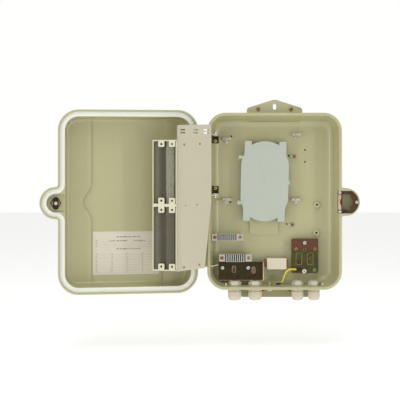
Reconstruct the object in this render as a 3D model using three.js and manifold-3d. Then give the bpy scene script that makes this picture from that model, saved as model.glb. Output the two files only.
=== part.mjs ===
// Wall-mounted fibre termination box, shown with its lid and its adapter frame swung open.
// Millimetres, +X right, +Y towards the wall, +Z up. The origin is the middle of the box's back face.
import * as THREE from 'three';
import { mergeVertices } from 'three/addons/utils/BufferGeometryUtils.js';
import Module from 'manifold-3d';

const wasm = await Module();
wasm.setup();

// ---- driving dimensions -------------------------------------------------------------------
const GAP = 0.3; // room between pieces that touch
const RIM_Y = -60; // front plane of the base's rim
const RIM_HALF = [152, 200]; // half width and half height of the rim
const RIM_RADIUS = 41.5;
const RIM_LAND = 6.5; // width of the rim's flat face
const FLOOR_Y = -3.5; // inside face of the base's back wall

const LID_OPEN = 171; // how far the lid stands open, in degrees
const LID_HINGE = [-165, -60]; // X and Y of the lid's hinge pin
const LID_LIP_Y = -55; // the lid's lip laps this far over the base
const LID_HALF = [156.5, 205.5];
const LID_RADIUS = 46;
const LID_FLOOR_Y = -102; // inside face of the lid's low side panels
const LID_BAND_RISE = 5; // the middle band stands this much further out
const LID_WALL = 3.5;
const LID_BAND = [-82.5, 81]; // left and right edge of the middle band, lid closed

const LATCH = [161.5, -2]; // X and Z of the lock, lid closed
const KEEPER_Y = [-57, -55]; // front and back of the keeper plate
const KEEPER_SCREWS = [[147.5, 19.6], [147.5, -23.6], [186, -2]];
const BASE_EAR_RADIUS = 31.2;
const EAR_BACK_Y = -32; // how far the base's ear reaches back
const EAR_SEAT = 28.3; // radius of the keeper's shallow seat in the ear
const EAR_WELL = 23.5; // radius of the well that the cam turns in
const LID_EAR_RADIUS = 35.5;
const LID_EAR_Y = -80; // outside face of the lid's ear
const LID_FLANGE_Y = -69; // outside face of the lid's flange
const CAM_LENGTH = 28;
const CAM_WIDTH = 12;

const KNUCKLE_RADIUS = 7;
const PIN_RADIUS = 2.5;
const KNUCKLE_ENDS = [-149, -97, -30, 30, 97, 149]; // the base has the outer and middle knuckles
const KNUCKLE_GAP = 1;

const FRAME_OPEN = 148; // how far the adapter frame stands open, in degrees
const FRAME_HINGE = [-133.5, -54];
const FRAME_LEAF_Y = -48; // middle of the frame's sheet, frame shut
const FRAME_SHEET = 1.5;
const FRAME_LEAF_X = [-117.9, -28.9];
const FRAME_BEND = -47; // angle of the adapter panel to the leaf, in degrees
const PANEL_LENGTH = 55.5;
const PANEL_TOP = 138;
const PANEL_BOTTOM = -152;

const TRAY_CENTRE = [-20.6, 44.4];
const TRAY_TURN = -1.4; // the tray sits a little askew, in degrees
const TRAY_HALF = [54.5, 91.5];
const TRAY_BACK_Y = -14;
const TRAY_SPLIT_Y = -26;
const TRAY_COVER_THICK = 2.2;
const TRAY_WALL = 2;
const TRAY_HINGES = [54, -50]; // heights of the cover's two hinge clips, tray upright

// The wall brackets: X and Z of their screws and hanging slots, and the base's tabs behind them.
const TOP_SCREWS = [[-34.4, 210.6], [41.4, 210.6]];
const TOP_SLOT = [3.5, 215.6];
const BOTTOM_SCREWS = [[-22.9, -208], [37.1, -208]];
const BOTTOM_SLOT = [-60, -211];
const TAB_FRONT_Y = -2.2;
const BRACKET_SHEET_Y = [-4.7, -2.5];
const BRACKET_HOLE = 2.3;
const SCREW_SEAT_Y = -5;

const BOTTOM_FACE_Z = -199; // flat under the box where the glands seat
const BOTTOM_INSIDE_Z = -189.5;
const GLAND_Y = -31;
const GLAND_WALL = 3.2; // from a gland's outside to the hole that its thread passes
const GLAND_HEX = 6; // height of the body's hexagon
const GLANDS = [
  { name: 'gland_1', x: -89.5, radius: 15.5 },
  { name: 'gland_2', x: -42.7, radius: 15.5 },
  { name: 'gland_3', x: 54, radius: 13.5 },
  { name: 'gland_4', x: 91.3, radius: 13.5 },
];
const EARTH_STUD = [-10, -42]; // X and Y of the bolt through the bottom wall

const CLAMPS = [
  { name: 'cable_clamp_upper', x: [-141, -70.8], z: [-90, -75.2], y: -37, ribs: [-127.5, -87.1] },
  { name: 'cable_clamp_lower', x: [-125, -51.3], z: [-137.7, -121.7], y: -37, ribs: [-110, -66.5] },
];
const CLAMP_SCREW_INSET = 6.5;
const CLAMP_THICK = 8;
const CLAMP_RIBS = 9;

const CABLE_PLATE = {
  x: [-126, -24], z: [-181, -138.6], y: -35,
  screws: [-117.2, -58.7], screwZ: -152.6, slots: [[-91.2, -156], [-46.6, -157.5]],
};
const EARTH_PLATE = { x: [40.7, 102.4], z: [-166, -86.8], y: -21, straps: [58.1, 84] };
const EARTH_SCREWS = [[71.4, -96.7], [51.5, -110.7], [94.6, -110.7], [70.3, -161.5]];
const SHEET = 1.5;
const POST_RADIUS = 5;

const FIBRE_CLIPS = [[-107.2, 134.9], [53.8, 145.3], [-107.7, -4], [52.2, -4]];
const SADDLES = [[49, 101.1], [44.2, -56.1]];
const BLIND_HOLES = [
  [-96.3, 147.7], [73.6, 116.3], [73.6, 88.6], [-98.4, -4.2], [36.4, 102.7], [31.6, -54.7],
];
const BOSSES = [[100.6, -9.9], [99.5, -74.8]];
const FRAME_BRACKETS = [
  { name: 'frame_bracket_upper', z: 140, side: 1 },
  { name: 'frame_bracket_lower', z: 25, side: -1 },
];
const BRACKET_HALF = 9;
const BRACKET_Y = -45;

// ---- materials ----------------------------------------------------------------------------
const FINISHES = {
  shell: [0xb9b68c, 0.55, 0],
  gasket: [0xe6e6dc, 0.9, 0],
  nylon: [0xd8d0bc, 0.5, 0],
  tray: [0xb9c2ba, 0.5, 0],
  taupe: [0xc4bfa8, 0.5, 0.2],
  cream: [0xd9d5bb, 0.5, 0.1],
  smoked: [0x3b3a2e, 0.2, 0.3],
  zinc: [0x5d5233, 0.35, 0.9],
  bright: [0xc9c9c2, 0.3, 1],
  copper: [0xa9714d, 0.35, 0.9],
  aluminium: [0xb9b8b0, 0.4, 1],
  black: [0x1c1b19, 0.6, 0],
  yellow: [0xd9c42f, 0.5, 0],
  paper: [0xd6cfc0, 0.8, 0],
};

// ---- solids -------------------------------------------------------------------------------
const ROUND = 12;
const CORNER_STEPS = 5;

function solid(geometry) {
  const bare = geometry.clone();
  bare.deleteAttribute('normal');
  bare.deleteAttribute('uv');
  const merged = mergeVertices(bare, 1e-4);
  return new wasm.Manifold(new wasm.Mesh({
    numProp: 3,
    vertProperties: new Float32Array(merged.attributes.position.array),
    triVerts: new Uint32Array(merged.index.array),
  }));
}

function geometryOf(body) {
  const mesh = body.getMesh();
  const geometry = new THREE.BufferGeometry();
  geometry.setAttribute('position', new THREE.BufferAttribute(mesh.vertProperties, 3));
  geometry.setIndex(new THREE.BufferAttribute(mesh.triVerts, 1));
  return geometry;
}

function union(...bodies) {
  return bodies.reduce((whole, body) => whole.add(body));
}

function cut(body, ...tools) {
  return tools.reduce((whole, tool) => whole.subtract(tool), body);
}

function box([x0, x1], [y0, y1], [z0, z1]) {
  const geometry = new THREE.BoxGeometry(x1 - x0, y1 - y0, z1 - z0);
  geometry.translate((x0 + x1) / 2, (y0 + y1) / 2, (z0 + z1) / 2);
  return solid(geometry);
}

// A shape drawn in X and Z, running from back to front along -Y.
function prismY(shape, back, front, steps = 4) {
  const geometry = new THREE.ExtrudeGeometry(shape, {
    depth: back - front, bevelEnabled: false, curveSegments: steps,
  });
  geometry.rotateX(Math.PI / 2);
  geometry.translate(0, back, 0);
  return solid(geometry);
}

// A shape drawn in X and Y, standing from low to high along +Z.
function prismZ(shape, low, high, steps = 4) {
  const geometry = new THREE.ExtrudeGeometry(shape, {
    depth: high - low, bevelEnabled: false, curveSegments: steps,
  });
  geometry.translate(0, 0, low);
  return solid(geometry);
}

function rodY([x, z], radius, back, front, sides = ROUND) {
  const geometry = new THREE.CylinderGeometry(radius, radius, back - front, sides);
  geometry.translate(x, (back + front) / 2, z);
  return solid(geometry);
}

function rodZ([x, y], radius, low, high, sides = ROUND) {
  const geometry = new THREE.CylinderGeometry(radius, radius, high - low, sides);
  geometry.rotateX(Math.PI / 2);
  geometry.translate(x, y, (low + high) / 2);
  return solid(geometry);
}

// A closed profile of [radius, z] pairs turned about a vertical line.
function turned(profile, [x, y], sides = ROUND) {
  const points = profile.map(([radius, z]) => new THREE.Vector2(radius, z));
  points.push(points[0].clone());
  const geometry = new THREE.LatheGeometry(points, sides);
  geometry.rotateX(Math.PI / 2);
  geometry.translate(x, y, 0);
  const body = solid(geometry);
  return body.volume() > 0 ? body : solid(flipped(geometry));
}

function flipped(geometry) {
  const copy = geometry.clone();
  const index = Array.from(copy.index.array);
  for (let i = 0; i < index.length; i += 3) {
    const held = index[i];
    index[i] = index[i + 1];
    index[i + 1] = held;
  }
  copy.setIndex(index);
  return copy;
}

function polygon(points) {
  return new THREE.Shape(points.map(([x, y]) => new THREE.Vector2(x, y)));
}

function roundedRect([x0, x1], [y0, y1], radius) {
  const shape = new THREE.Shape();
  shape.absarc(x1 - radius, y1 - radius, radius, 0, Math.PI / 2);
  shape.absarc(x0 + radius, y1 - radius, radius, Math.PI / 2, Math.PI);
  shape.absarc(x0 + radius, y0 + radius, radius, Math.PI, 1.5 * Math.PI);
  shape.absarc(x1 - radius, y0 + radius, radius, 1.5 * Math.PI, 2 * Math.PI);
  return shape;
}

function slot([x, y], width, height) {
  const radius = Math.min(width, height) / 2 - 0.01;
  return roundedRect([x - width / 2, x + width / 2], [y - height / 2, y + height / 2], radius);
}

// One rounded rectangle of a loft: its plane, half width, half height and corner radius.
function ring([y, halfWidth, halfHeight, radius]) {
  const points = [];
  for (let corner = 0; corner < 4; corner += 1) {
    const centreX = (corner === 0 || corner === 3 ? 1 : -1) * (halfWidth - radius);
    const centreZ = (corner < 2 ? 1 : -1) * (halfHeight - radius);
    for (let step = 0; step <= CORNER_STEPS; step += 1) {
      const angle = (corner + step / CORNER_STEPS) * Math.PI / 2;
      points.push(centreX + radius * Math.cos(angle), y, centreZ + radius * Math.sin(angle));
    }
  }
  return points;
}

// A skin over a row of rounded rectangles, from the back one to the front one.
function loft(sections) {
  const count = 4 * (CORNER_STEPS + 1);
  const vertices = sections.flatMap(ring);
  const index = [];
  for (let row = 0; row + 1 < sections.length; row += 1) {
    for (let i = 0; i < count; i += 1) {
      const next = (i + 1) % count;
      const [a, b] = [row * count + i, row * count + next];
      index.push(a, b, a + count, b, b + count, a + count);
    }
  }
  const last = (sections.length - 1) * count;
  for (let i = 1; i + 1 < count; i += 1) {
    index.push(0, i + 1, i);
    index.push(last, last + i, last + i + 1);
  }
  const geometry = new THREE.BufferGeometry();
  geometry.setAttribute('position', new THREE.Float32BufferAttribute(vertices, 3));
  geometry.setIndex(index);
  return solid(geometry);
}

// The outline that rim, lip and gasket share: a rounded rectangle with the latch's ear.
function outline(half, radius, earRadius, inset, back, front) {
  const [x, z] = LATCH;
  const [w, h] = [half[0] - inset, half[1] - inset];
  const ear = earRadius - inset;
  return union(
    prismY(roundedRect([-w, w], [-h, h], radius - inset), back, front, 6),
    rodY([x, z], ear, back, front, 20),
    box([x - 30, x], [front, back], [z - ear * 0.998, z + ear * 0.998]),
  );
}

// ---- scene --------------------------------------------------------------------------------
const cabinet = new THREE.Group();

function add(parent, name, finish, body) {
  const [color, roughness, metalness] = FINISHES[finish];
  const material = new THREE.MeshStandardMaterial({ color, roughness, metalness });
  const mesh = new THREE.Mesh(geometryOf(body), material);
  mesh.name = name;
  mesh.position.set(-parent.position.x, -parent.position.y, -parent.position.z);
  parent.add(mesh);
}

// A group that turns about a vertical line; its pieces are drawn in the shut position.
function swung([x, y], degrees) {
  const pivot = new THREE.Group();
  pivot.position.set(x, y, 0);
  pivot.rotation.z = THREE.MathUtils.degToRad(degrees);
  cabinet.add(pivot);
  return pivot;
}

function knuckles(first, web) {
  const bodies = [];
  for (let i = first; i + 1 < KNUCKLE_ENDS.length; i += 2) {
    const low = KNUCKLE_ENDS[i] + (i === 0 ? 0 : KNUCKLE_GAP / 2);
    const high = KNUCKLE_ENDS[i + 1] - (i + 2 === KNUCKLE_ENDS.length ? 0 : KNUCKLE_GAP / 2);
    bodies.push(rodZ(LID_HINGE, KNUCKLE_RADIUS, low, high), web(low, high));
  }
  return union(...bodies);
}

function hingeBore() {
  return rodZ(LID_HINGE, PIN_RADIUS + 0.4, KNUCKLE_ENDS[0] - 5, KNUCKLE_ENDS.at(-1) + 5);
}

// ---- base ---------------------------------------------------------------------------------
function baseShell() {
  const outside = loft([
    [0, 133, 181, 30], [-4, 139.5, 187.5, 33.5], [-10, 141.5, 189.5, 35], [-51, 147.3, 195.3, 39],
    [-52, ...RIM_HALF, RIM_RADIUS], [RIM_Y, ...RIM_HALF, RIM_RADIUS],
  ]);
  const [w, h] = RIM_HALF.map((half) => half - RIM_LAND);
  const inside = loft([
    [FLOOR_Y, 127, 175, 18], [-5, 132, 180, 22], [-8, 136, 184, 26], [-12, 137.5, 185.5, 28],
    [-54, w - 1, h - 1, 34.5], [RIM_Y, w, h, 35], [RIM_Y - 2, w, h, 35],
  ]);
  const [x, z] = LATCH;
  const ear = union(
    rodY([x, z], BASE_EAR_RADIUS, EAR_BACK_Y, RIM_Y, 20),
    box([x - 22, x], [RIM_Y, EAR_BACK_Y], [z - BASE_EAR_RADIUS, z + BASE_EAR_RADIUS]),
  );
  const floor = (shape, top) => prismY(shape, -1, top);
  const post = ([px, pz], top, radius = POST_RADIUS) => rodY([px, pz], radius, -1, top, 8);
  const clampPosts = CLAMPS.flatMap((clamp) => clampScrews(clamp).map((at) => post(at, clamp.y + GAP)));
  const platePosts = CABLE_PLATE.screws.map((sx) => post([sx, CABLE_PLATE.screwZ], CABLE_PLATE.y + GAP));
  const earthPosts = EARTH_SCREWS.map((at) => post(at, EARTH_PLATE.y + GAP));
  const trayPosts = trayCorners().map((at) => post(at, TRAY_BACK_Y + GAP, 4));
  const ledges = FRAME_BRACKETS.map(({ z: mid }) => box(
    [-146, -125.5], [BRACKET_Y + GAP, BRACKET_Y + 8], [mid - BRACKET_HALF - 1, mid + BRACKET_HALF + 1],
  ));
  let body = union(
    outside, ear,
    box([-112, 112], [-50, -12], [BOTTOM_FACE_Z, -185]),
    box([-52, 59], [TAB_FRONT_Y, 0], [170, 217]),
    box([-68, 77], [TAB_FRONT_Y, 0], [-216, -170]),
  );
  body = cut(body, inside);
  body = union(
    body,
    floor(roundedRect([-54, 11.5], [-79, 118], 6), -6.2),
    box([-57.5, 60], [-54, -8], [184.5, 189]),
    ...BOSSES.map((at) => post(at, -10, 6.8)),
    ...clampPosts, ...platePosts, ...earthPosts, ...trayPosts, ...ledges,
    knuckles(0, (low, high) => box([LID_HINGE[0], -146], [-54.6, -49], [low, high])),
  );
  return cut(
    body,
    hingeBore(),
    box([-107, 106], [-50, -14], [BOTTOM_INSIDE_Z, -174]),
    rodY([x, z], EAR_SEAT, KEEPER_Y[1] + GAP, RIM_Y - 1, 20),
    box([138, x], [RIM_Y - 1, KEEPER_Y[1] + GAP], [-27.5, 23.5]),
    rodY([x, z], EAR_WELL, EAR_BACK_Y - 4, RIM_Y - 1, 16),
    box([138, x], [RIM_Y - 1, EAR_BACK_Y - 4], [-20.5, 16.5]),
    ...GLANDS.map((gland) => rodZ([gland.x, GLAND_Y], gland.radius - GLAND_WALL, BOTTOM_FACE_Z - 2, -180)),
    rodZ(EARTH_STUD, 3.4, BOTTOM_FACE_Z - 2, -180, 8),
    prismY(slot(TOP_SLOT, 9.5, 15), 1, -3),
    prismY(slot(BOTTOM_SLOT, 12, 8), 1, -3),
    ...TOP_SCREWS.map((at) => rodY(at, BRACKET_HOLE, 1, -3, 8)),
    ...BOTTOM_SCREWS.map((at) => rodY(at, BRACKET_HOLE, 1, -3, 8)),
    ...BLIND_HOLES.map((at) => rodY(at, 2.1, -1.2, -8, 8)),
    ...BOSSES.map((at) => rodY(at, 2.5, -1.2, -12, 8)),
    ...FRAME_BRACKETS.map(({ z: mid, side }) => rodY([FRAME_HINGE[0], mid - 4 * side], 1.8, -39, -46, 8)),
    ...KEEPER_SCREWS.map((at) => rodY(at, 1.8, -44, -56, 8)),
  );
}

function clampScrews({ x, z }) {
  const middle = (z[0] + z[1]) / 2;
  return [[x[0] + CLAMP_SCREW_INSET, middle], [x[1] - CLAMP_SCREW_INSET, middle]];
}

function trayPoint([across, up]) {
  const angle = THREE.MathUtils.degToRad(TRAY_TURN);
  return [
    TRAY_CENTRE[0] + across * Math.cos(angle) - up * Math.sin(angle),
    TRAY_CENTRE[1] + across * Math.sin(angle) + up * Math.cos(angle),
  ];
}

function trayCorners() {
  return [[-40, -70], [40, -70], [-40, 66], [40, 66]].map(trayPoint);
}

// A pan-head screw that points back into the box, with a slot across its head.
function panScrew([x, z], seat, radius, length) {
  const sides = 10;
  return cut(
    union(
      rodY([x, z], radius, seat, seat - radius * 0.3, sides),
      rodY([x, z], radius * 0.72, seat, seat - radius * 0.5, sides),
      rodY([x, z], radius * 0.42, seat + length, seat - 0.3, 8),
    ),
    box([x - radius, x + radius], [seat - 4, seat - radius * 0.22], [z - 0.4, z + 0.4]),
  );
}

function topBracket() {
  const shape = new THREE.Shape();
  shape.moveTo(-60.5, 190);
  shape.lineTo(-60.5, 205);
  shape.quadraticCurveTo(-60.5, 212.5, -53.5, 214.8);
  shape.lineTo(-3, 231);
  shape.quadraticCurveTo(3.5, 233, 10, 231);
  shape.lineTo(60.5, 214.8);
  shape.quadraticCurveTo(67.5, 212.5, 67.5, 205);
  shape.lineTo(67.5, 190);
  return cut(
    prismY(shape, BRACKET_SHEET_Y[1], BRACKET_SHEET_Y[0], 5),
    prismY(slot(TOP_SLOT, 7.5, 13), 0, -6),
    ...TOP_SCREWS.map((at) => rodY(at, BRACKET_HOLE, 0, -6, 8)),
  );
}

function bottomBracket() {
  return cut(
    prismY(roundedRect([-75, 83.5], [-223, -190], 6), BRACKET_SHEET_Y[1], BRACKET_SHEET_Y[0], 4),
    prismY(slot(BOTTOM_SLOT, 10, 6), 0, -6),
    ...BOTTOM_SCREWS.map((at) => rodY(at, BRACKET_HOLE, 0, -6, 8)),
  );
}

function keeperPlate() {
  const [x, z] = LATCH;
  return cut(
    union(
      rodY([x, z], EAR_SEAT - 0.4, KEEPER_Y[1], KEEPER_Y[0], 20)
        .intersect(box([x - 9, x + 30], [-58, -54], [z - 30, z + 30])),
      box([142.5, x], KEEPER_Y, [-27.1, 23.1]),
    ),
    box([x - 8, x + 10], [-59, -53], [z - 17.5, z + 17.5]),
    rodY([x + 4, z], 12, -53, -59, 16),
    ...KEEPER_SCREWS.map((at) => rodY(at, 1.9, -53, -59, 8)),
  );
}

function hingePin() {
  const [low, high] = [KNUCKLE_ENDS[0], KNUCKLE_ENDS.at(-1)];
  return union(
    rodZ(LID_HINGE, PIN_RADIUS, low - 1, high + 1, 12),
    rodZ(LID_HINGE, PIN_RADIUS + 1.6, low - 2, low - GAP, 12),
    rodZ(LID_HINGE, PIN_RADIUS + 1.6, high + GAP, high + 2, 12),
  );
}

// A leaf screwed to the side wall, with a lug that carries the frame's upright pin.
function frameBracket({ z, side }) {
  const [x, y] = FRAME_HINGE;
  const lug = z + side * (BRACKET_HALF - 0.8);
  const tip = z + side * (BRACKET_HALF + 8);
  return cut(
    union(
      box([-141, -126], [BRACKET_Y - SHEET, BRACKET_Y], [z - BRACKET_HALF, z + BRACKET_HALF]),
      box([-139, -128], [-58, BRACKET_Y], [lug - 0.8, lug + 0.8]),
      rodZ([x, y], 2, Math.min(lug, tip), Math.max(lug, tip), 12),
    ),
    rodY([x, z - 4 * side], 1.9, BRACKET_Y + 1, BRACKET_Y - 3, 8),
  );
}

function earthWire() {
  const route = new THREE.CatmullRomCurve3([
    [51.5, -26.2, -157.2], [44, -26.8, -156.9], [36, -28, -157.6], [29, -30, -162], [25, -32, -169],
    [22.5, -34.5, -176], [20, -37, -181.5], [16.4, -39.4, -185],
  ].map((point) => new THREE.Vector3(...point)));
  return solid(new THREE.ExtrudeGeometry(circle(2.2, 8), { steps: 14, extrudePath: route }));
}

function circle(radius, sides) {
  const shape = new THREE.Shape();
  for (let i = 0; i < sides; i += 1) {
    const angle = 2 * Math.PI * i / sides;
    const point = [radius * Math.cos(angle), radius * Math.sin(angle)];
    if (i === 0) shape.moveTo(...point);
    else shape.lineTo(...point);
  }
  shape.closePath();
  return shape;
}

function sleeve(start, end, radius) {
  const route = new THREE.LineCurve3(new THREE.Vector3(...start), new THREE.Vector3(...end));
  return solid(new THREE.ExtrudeGeometry(circle(radius, 12), { steps: 1, extrudePath: route }));
}

function fibreClip([x, z]) {
  const low = z + 3.6;
  const loop = cut(
    prismZ(roundedRect([x - 11.5, x + 11.5], [-27, FLOOR_Y - GAP], 6), low, low + 6, 4),
    prismZ(roundedRect([x - 9.5, x + 9.5], [-25, FLOOR_Y - GAP - 2], 4.5), low - 1, low + 7, 4),
    box([x - 5, x - 2], [-29, -23], [low - 1, low + 7]),
  );
  const foot = box([x - 4.5, x + 4.5], [FLOOR_Y - GAP - 2, FLOOR_Y - GAP], [z - 5, low + 1]);
  return union(loop, foot);
}

function saddle([x, z]) {
  return union(
    box([x - 9, x + 3], [FLOOR_Y - GAP - 3, FLOOR_Y - GAP], [z - 3, z + 3]),
    rodY([x, z], 4.6, FLOOR_Y - GAP, FLOOR_Y - GAP - 4, 10),
  );
}

function cableClamp(clamp) {
  const { x, y, z, ribs } = clamp;
  const middle = (ribs[0] + ribs[1]) / 2;
  const pitch = (ribs[1] - ribs[0]) / CLAMP_RIBS;
  const grooves = [];
  for (let i = 0; i <= CLAMP_RIBS; i += 1) {
    const at = middle + (i - CLAMP_RIBS / 2) * pitch;
    const span = [at - pitch * 0.24, at + pitch * 0.24];
    grooves.push(box(span, [y - 12, y - CLAMP_THICK / 2], [z[0] - 1, z[1] + 1]));
  }
  return cut(
    union(
      box(x, [y - CLAMP_THICK * 0.6, y], z),
      box(ribs, [y - CLAMP_THICK, y], [z[0] - 0.8, z[1] + 0.8]),
    ),
    ...grooves,
    ...clampScrews(clamp).map((at) => rodY(at, 2.2, y + 2, y - 12, 8)),
  );
}

function cablePlate() {
  const { x, y, z, screws, screwZ, slots } = CABLE_PLATE;
  return cut(
    union(box(x, [y - SHEET, y], z), box([x[1] - SHEET, x[1]], [y - 9, y], z)),
    ...slots.map((at) => prismY(slot(at, 7, 14), y + 2, y - 4, 3)),
    ...screws.map((sx) => rodY([sx, screwZ], 2.2, y + 2, y - 4, 8)),
  );
}

function earthPlate() {
  const { x, y, z } = EARTH_PLATE;
  const straps = EARTH_PLATE.straps.flatMap((sx) => [
    box([sx - 5.5, sx + 5.5], [y - 3.6, y - 2.1], [-147, -119]),
    box([sx - 5.5, sx + 5.5], [y - 3.6, y], [-147, -145.5]),
    box([sx - 5.5, sx + 5.5], [y - 3.6, y], [-120.5, -119]),
  ]);
  const windows = EARTH_PLATE.straps.map((sx) => box([sx - 7, sx + 7], [y - 2, y + 2], [-145.4, -120.6]));
  const slots = EARTH_PLATE.straps.map((sx) => box([sx - 2, sx + 2], [y - 6, y - 2], [-143, -127]));
  const plate = cut(prismY(roundedRect(x, z, 4), y, y - SHEET, 3), ...windows);
  return cut(
    union(plate, ...straps),
    ...slots,
    rodY([71.4, -112], 2.6, y + 2, y - 4, 8),
    rodY([93.9, -158.6], 3, y + 2, y - 4, 8),
    ...EARTH_SCREWS.map((at) => rodY(at, 2.2, y + 2, y - 4, 8)),
  );
}

function trayOutline(inset) {
  const [w, h] = [TRAY_HALF[0] - inset, TRAY_HALF[1] - inset];
  const shoulder = w - 6.8;
  const notch = 31.5 + inset;
  const dip = 9;
  const rise = (notch * notch + dip * dip) / (2 * dip);
  const half = Math.asin(notch / rise);
  const shape = new THREE.Shape();
  shape.moveTo(shoulder, h);
  shape.lineTo(notch, h);
  shape.lineTo(notch, h - dip);
  shape.absarc(0, h - rise, rise, Math.PI / 2 - half, Math.PI / 2 + half);
  shape.lineTo(-notch, h);
  shape.lineTo(-shoulder, h);
  shape.lineTo(-shoulder, 62);
  shape.quadraticCurveTo(-shoulder - 0.5, 56, -w, 50);
  shape.lineTo(-w, -50);
  shape.quadraticCurveTo(-shoulder - 0.5, -56, -shoulder, -62);
  shape.lineTo(-shoulder, -h);
  shape.lineTo(-notch, -h);
  shape.lineTo(-notch, dip - h);
  shape.absarc(0, rise - h, rise, 1.5 * Math.PI - half, 1.5 * Math.PI + half);
  shape.lineTo(notch, -h);
  shape.lineTo(shoulder, -h);
  shape.lineTo(shoulder, -62);
  shape.quadraticCurveTo(shoulder + 0.5, -56, w, -50);
  shape.lineTo(w, 50);
  shape.quadraticCurveTo(shoulder + 0.5, 56, shoulder, 62);
  return shape;
}

// The tray's pieces are drawn upright about its own middle, then turned and put in place.
function placedTray(body) {
  const turn = THREE.MathUtils.degToRad(TRAY_TURN);
  const geometry = geometryOf(body);
  geometry.rotateY(-turn);
  geometry.translate(TRAY_CENTRE[0], 0, TRAY_CENTRE[1]);
  return solid(geometry);
}

function trayBase() {
  const front = TRAY_SPLIT_Y + GAP;
  const shell = cut(
    prismY(trayOutline(0), TRAY_BACK_Y, front, 4),
    prismY(trayOutline(TRAY_WALL), TRAY_BACK_Y - TRAY_WALL, front - 1, 4),
  );
  const drums = [46, -46].map((up) => cut(
    rodY([0, up], 22, TRAY_BACK_Y - 1, front + 2, 12),
    rodY([0, up], 20, TRAY_BACK_Y - 2, front, 12),
  ));
  const sockets = TRAY_HINGES.map((up) => box([-61.5, -53], [-23.6, -21], [up - 5, up + 5]));
  return placedTray(union(shell, ...drums, ...sockets));
}

function trayCover() {
  const sheet = prismY(trayOutline(0), TRAY_SPLIT_Y, TRAY_SPLIT_Y - TRAY_COVER_THICK, 4);
  const arms = TRAY_HINGES.map((up) => union(
    box([-60.5, -52], [-29.7, -26.5], [up - 3, up + 3]),
    box([-60.5, -57.5], [-29.7, -25], [up - 3, up + 3]),
  ));
  const snap = box([53, 57.6], [TRAY_SPLIT_Y - TRAY_COVER_THICK, TRAY_SPLIT_Y], [-6, 2]);
  return placedTray(union(sheet, ...arms, snap));
}

function hexagon([x, y], radius) {
  return polygon([0, 1, 2, 3, 4, 5].map((side) => [
    x + radius * Math.cos(side * Math.PI / 3), y + radius * Math.sin(side * Math.PI / 3),
  ]));
}

function glandBody({ x, radius }) {
  const at = [x, GLAND_Y];
  const thread = radius - 3.6;
  const seat = BOTTOM_FACE_Z - GAP;
  return cut(
    union(rodZ(at, thread, seat - 16, -181.5), prismZ(hexagon(at, radius), seat - GLAND_HEX, seat)),
    rodZ(at, radius - 7, seat - 17, -180),
  );
}

function glandLocknut({ x, radius }) {
  const at = [x, GLAND_Y];
  const low = BOTTOM_INSIDE_Z + GAP;
  const nut = prismZ(hexagon(at, radius * 0.99), low, low + 7);
  return cut(nut, rodZ(at, radius - GLAND_WALL, low - 1, low + 8));
}

function glandCap({ x, radius }) {
  const top = BOTTOM_FACE_Z - GAP - GLAND_HEX - GAP;
  const bore = radius - GLAND_WALL;
  const hole = radius * 0.52;
  return turned([
    [bore, top], [radius, top], [radius, top - 11], [radius * 0.87, top - 17],
    [radius * 0.62, top - 20.5], [hole, top - 20.5], [hole, top - 12], [bore, top - 11],
  ], [x, GLAND_Y], 16);
}

function earthBolt() {
  return union(
    rodZ(EARTH_STUD, 3, BOTTOM_FACE_Z - 1, -176, 8),
    prismZ(hexagon(EARTH_STUD, 5.6), BOTTOM_FACE_Z - 5.5, BOTTOM_FACE_Z - GAP - 1),
    rodZ(EARTH_STUD, 6.6, BOTTOM_FACE_Z - 1.4, BOTTOM_FACE_Z - GAP, 12),
  );
}

function earthNut() {
  const low = BOTTOM_INSIDE_Z + GAP + 1.5 + GAP;
  return cut(prismZ(hexagon(EARTH_STUD, 5.6), low, low + 4.6), rodZ(EARTH_STUD, 3.3, low - 1, low + 6, 8));
}

// ---- lid, drawn shut ----------------------------------------------------------------------
function bandShape(grow) {
  const [left, right] = [LID_BAND[0] - grow, LID_BAND[1] + grow];
  const bulge = 18;
  const middle = LATCH[1];
  const shape = new THREE.Shape();
  shape.moveTo(left, -215);
  shape.lineTo(right, -215);
  shape.lineTo(right, middle - 40);
  shape.bezierCurveTo(right, middle - 27, right + bulge, middle - 23, right + bulge, middle);
  shape.bezierCurveTo(right + bulge, middle + 23, right, middle + 27, right, middle + 40);
  shape.lineTo(right, 215);
  shape.lineTo(left, 215);
  return shape;
}

function lidOutline(inset, back, front) {
  return outline(LID_HALF, LID_RADIUS, LID_EAR_RADIUS, inset, back, front);
}

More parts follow.
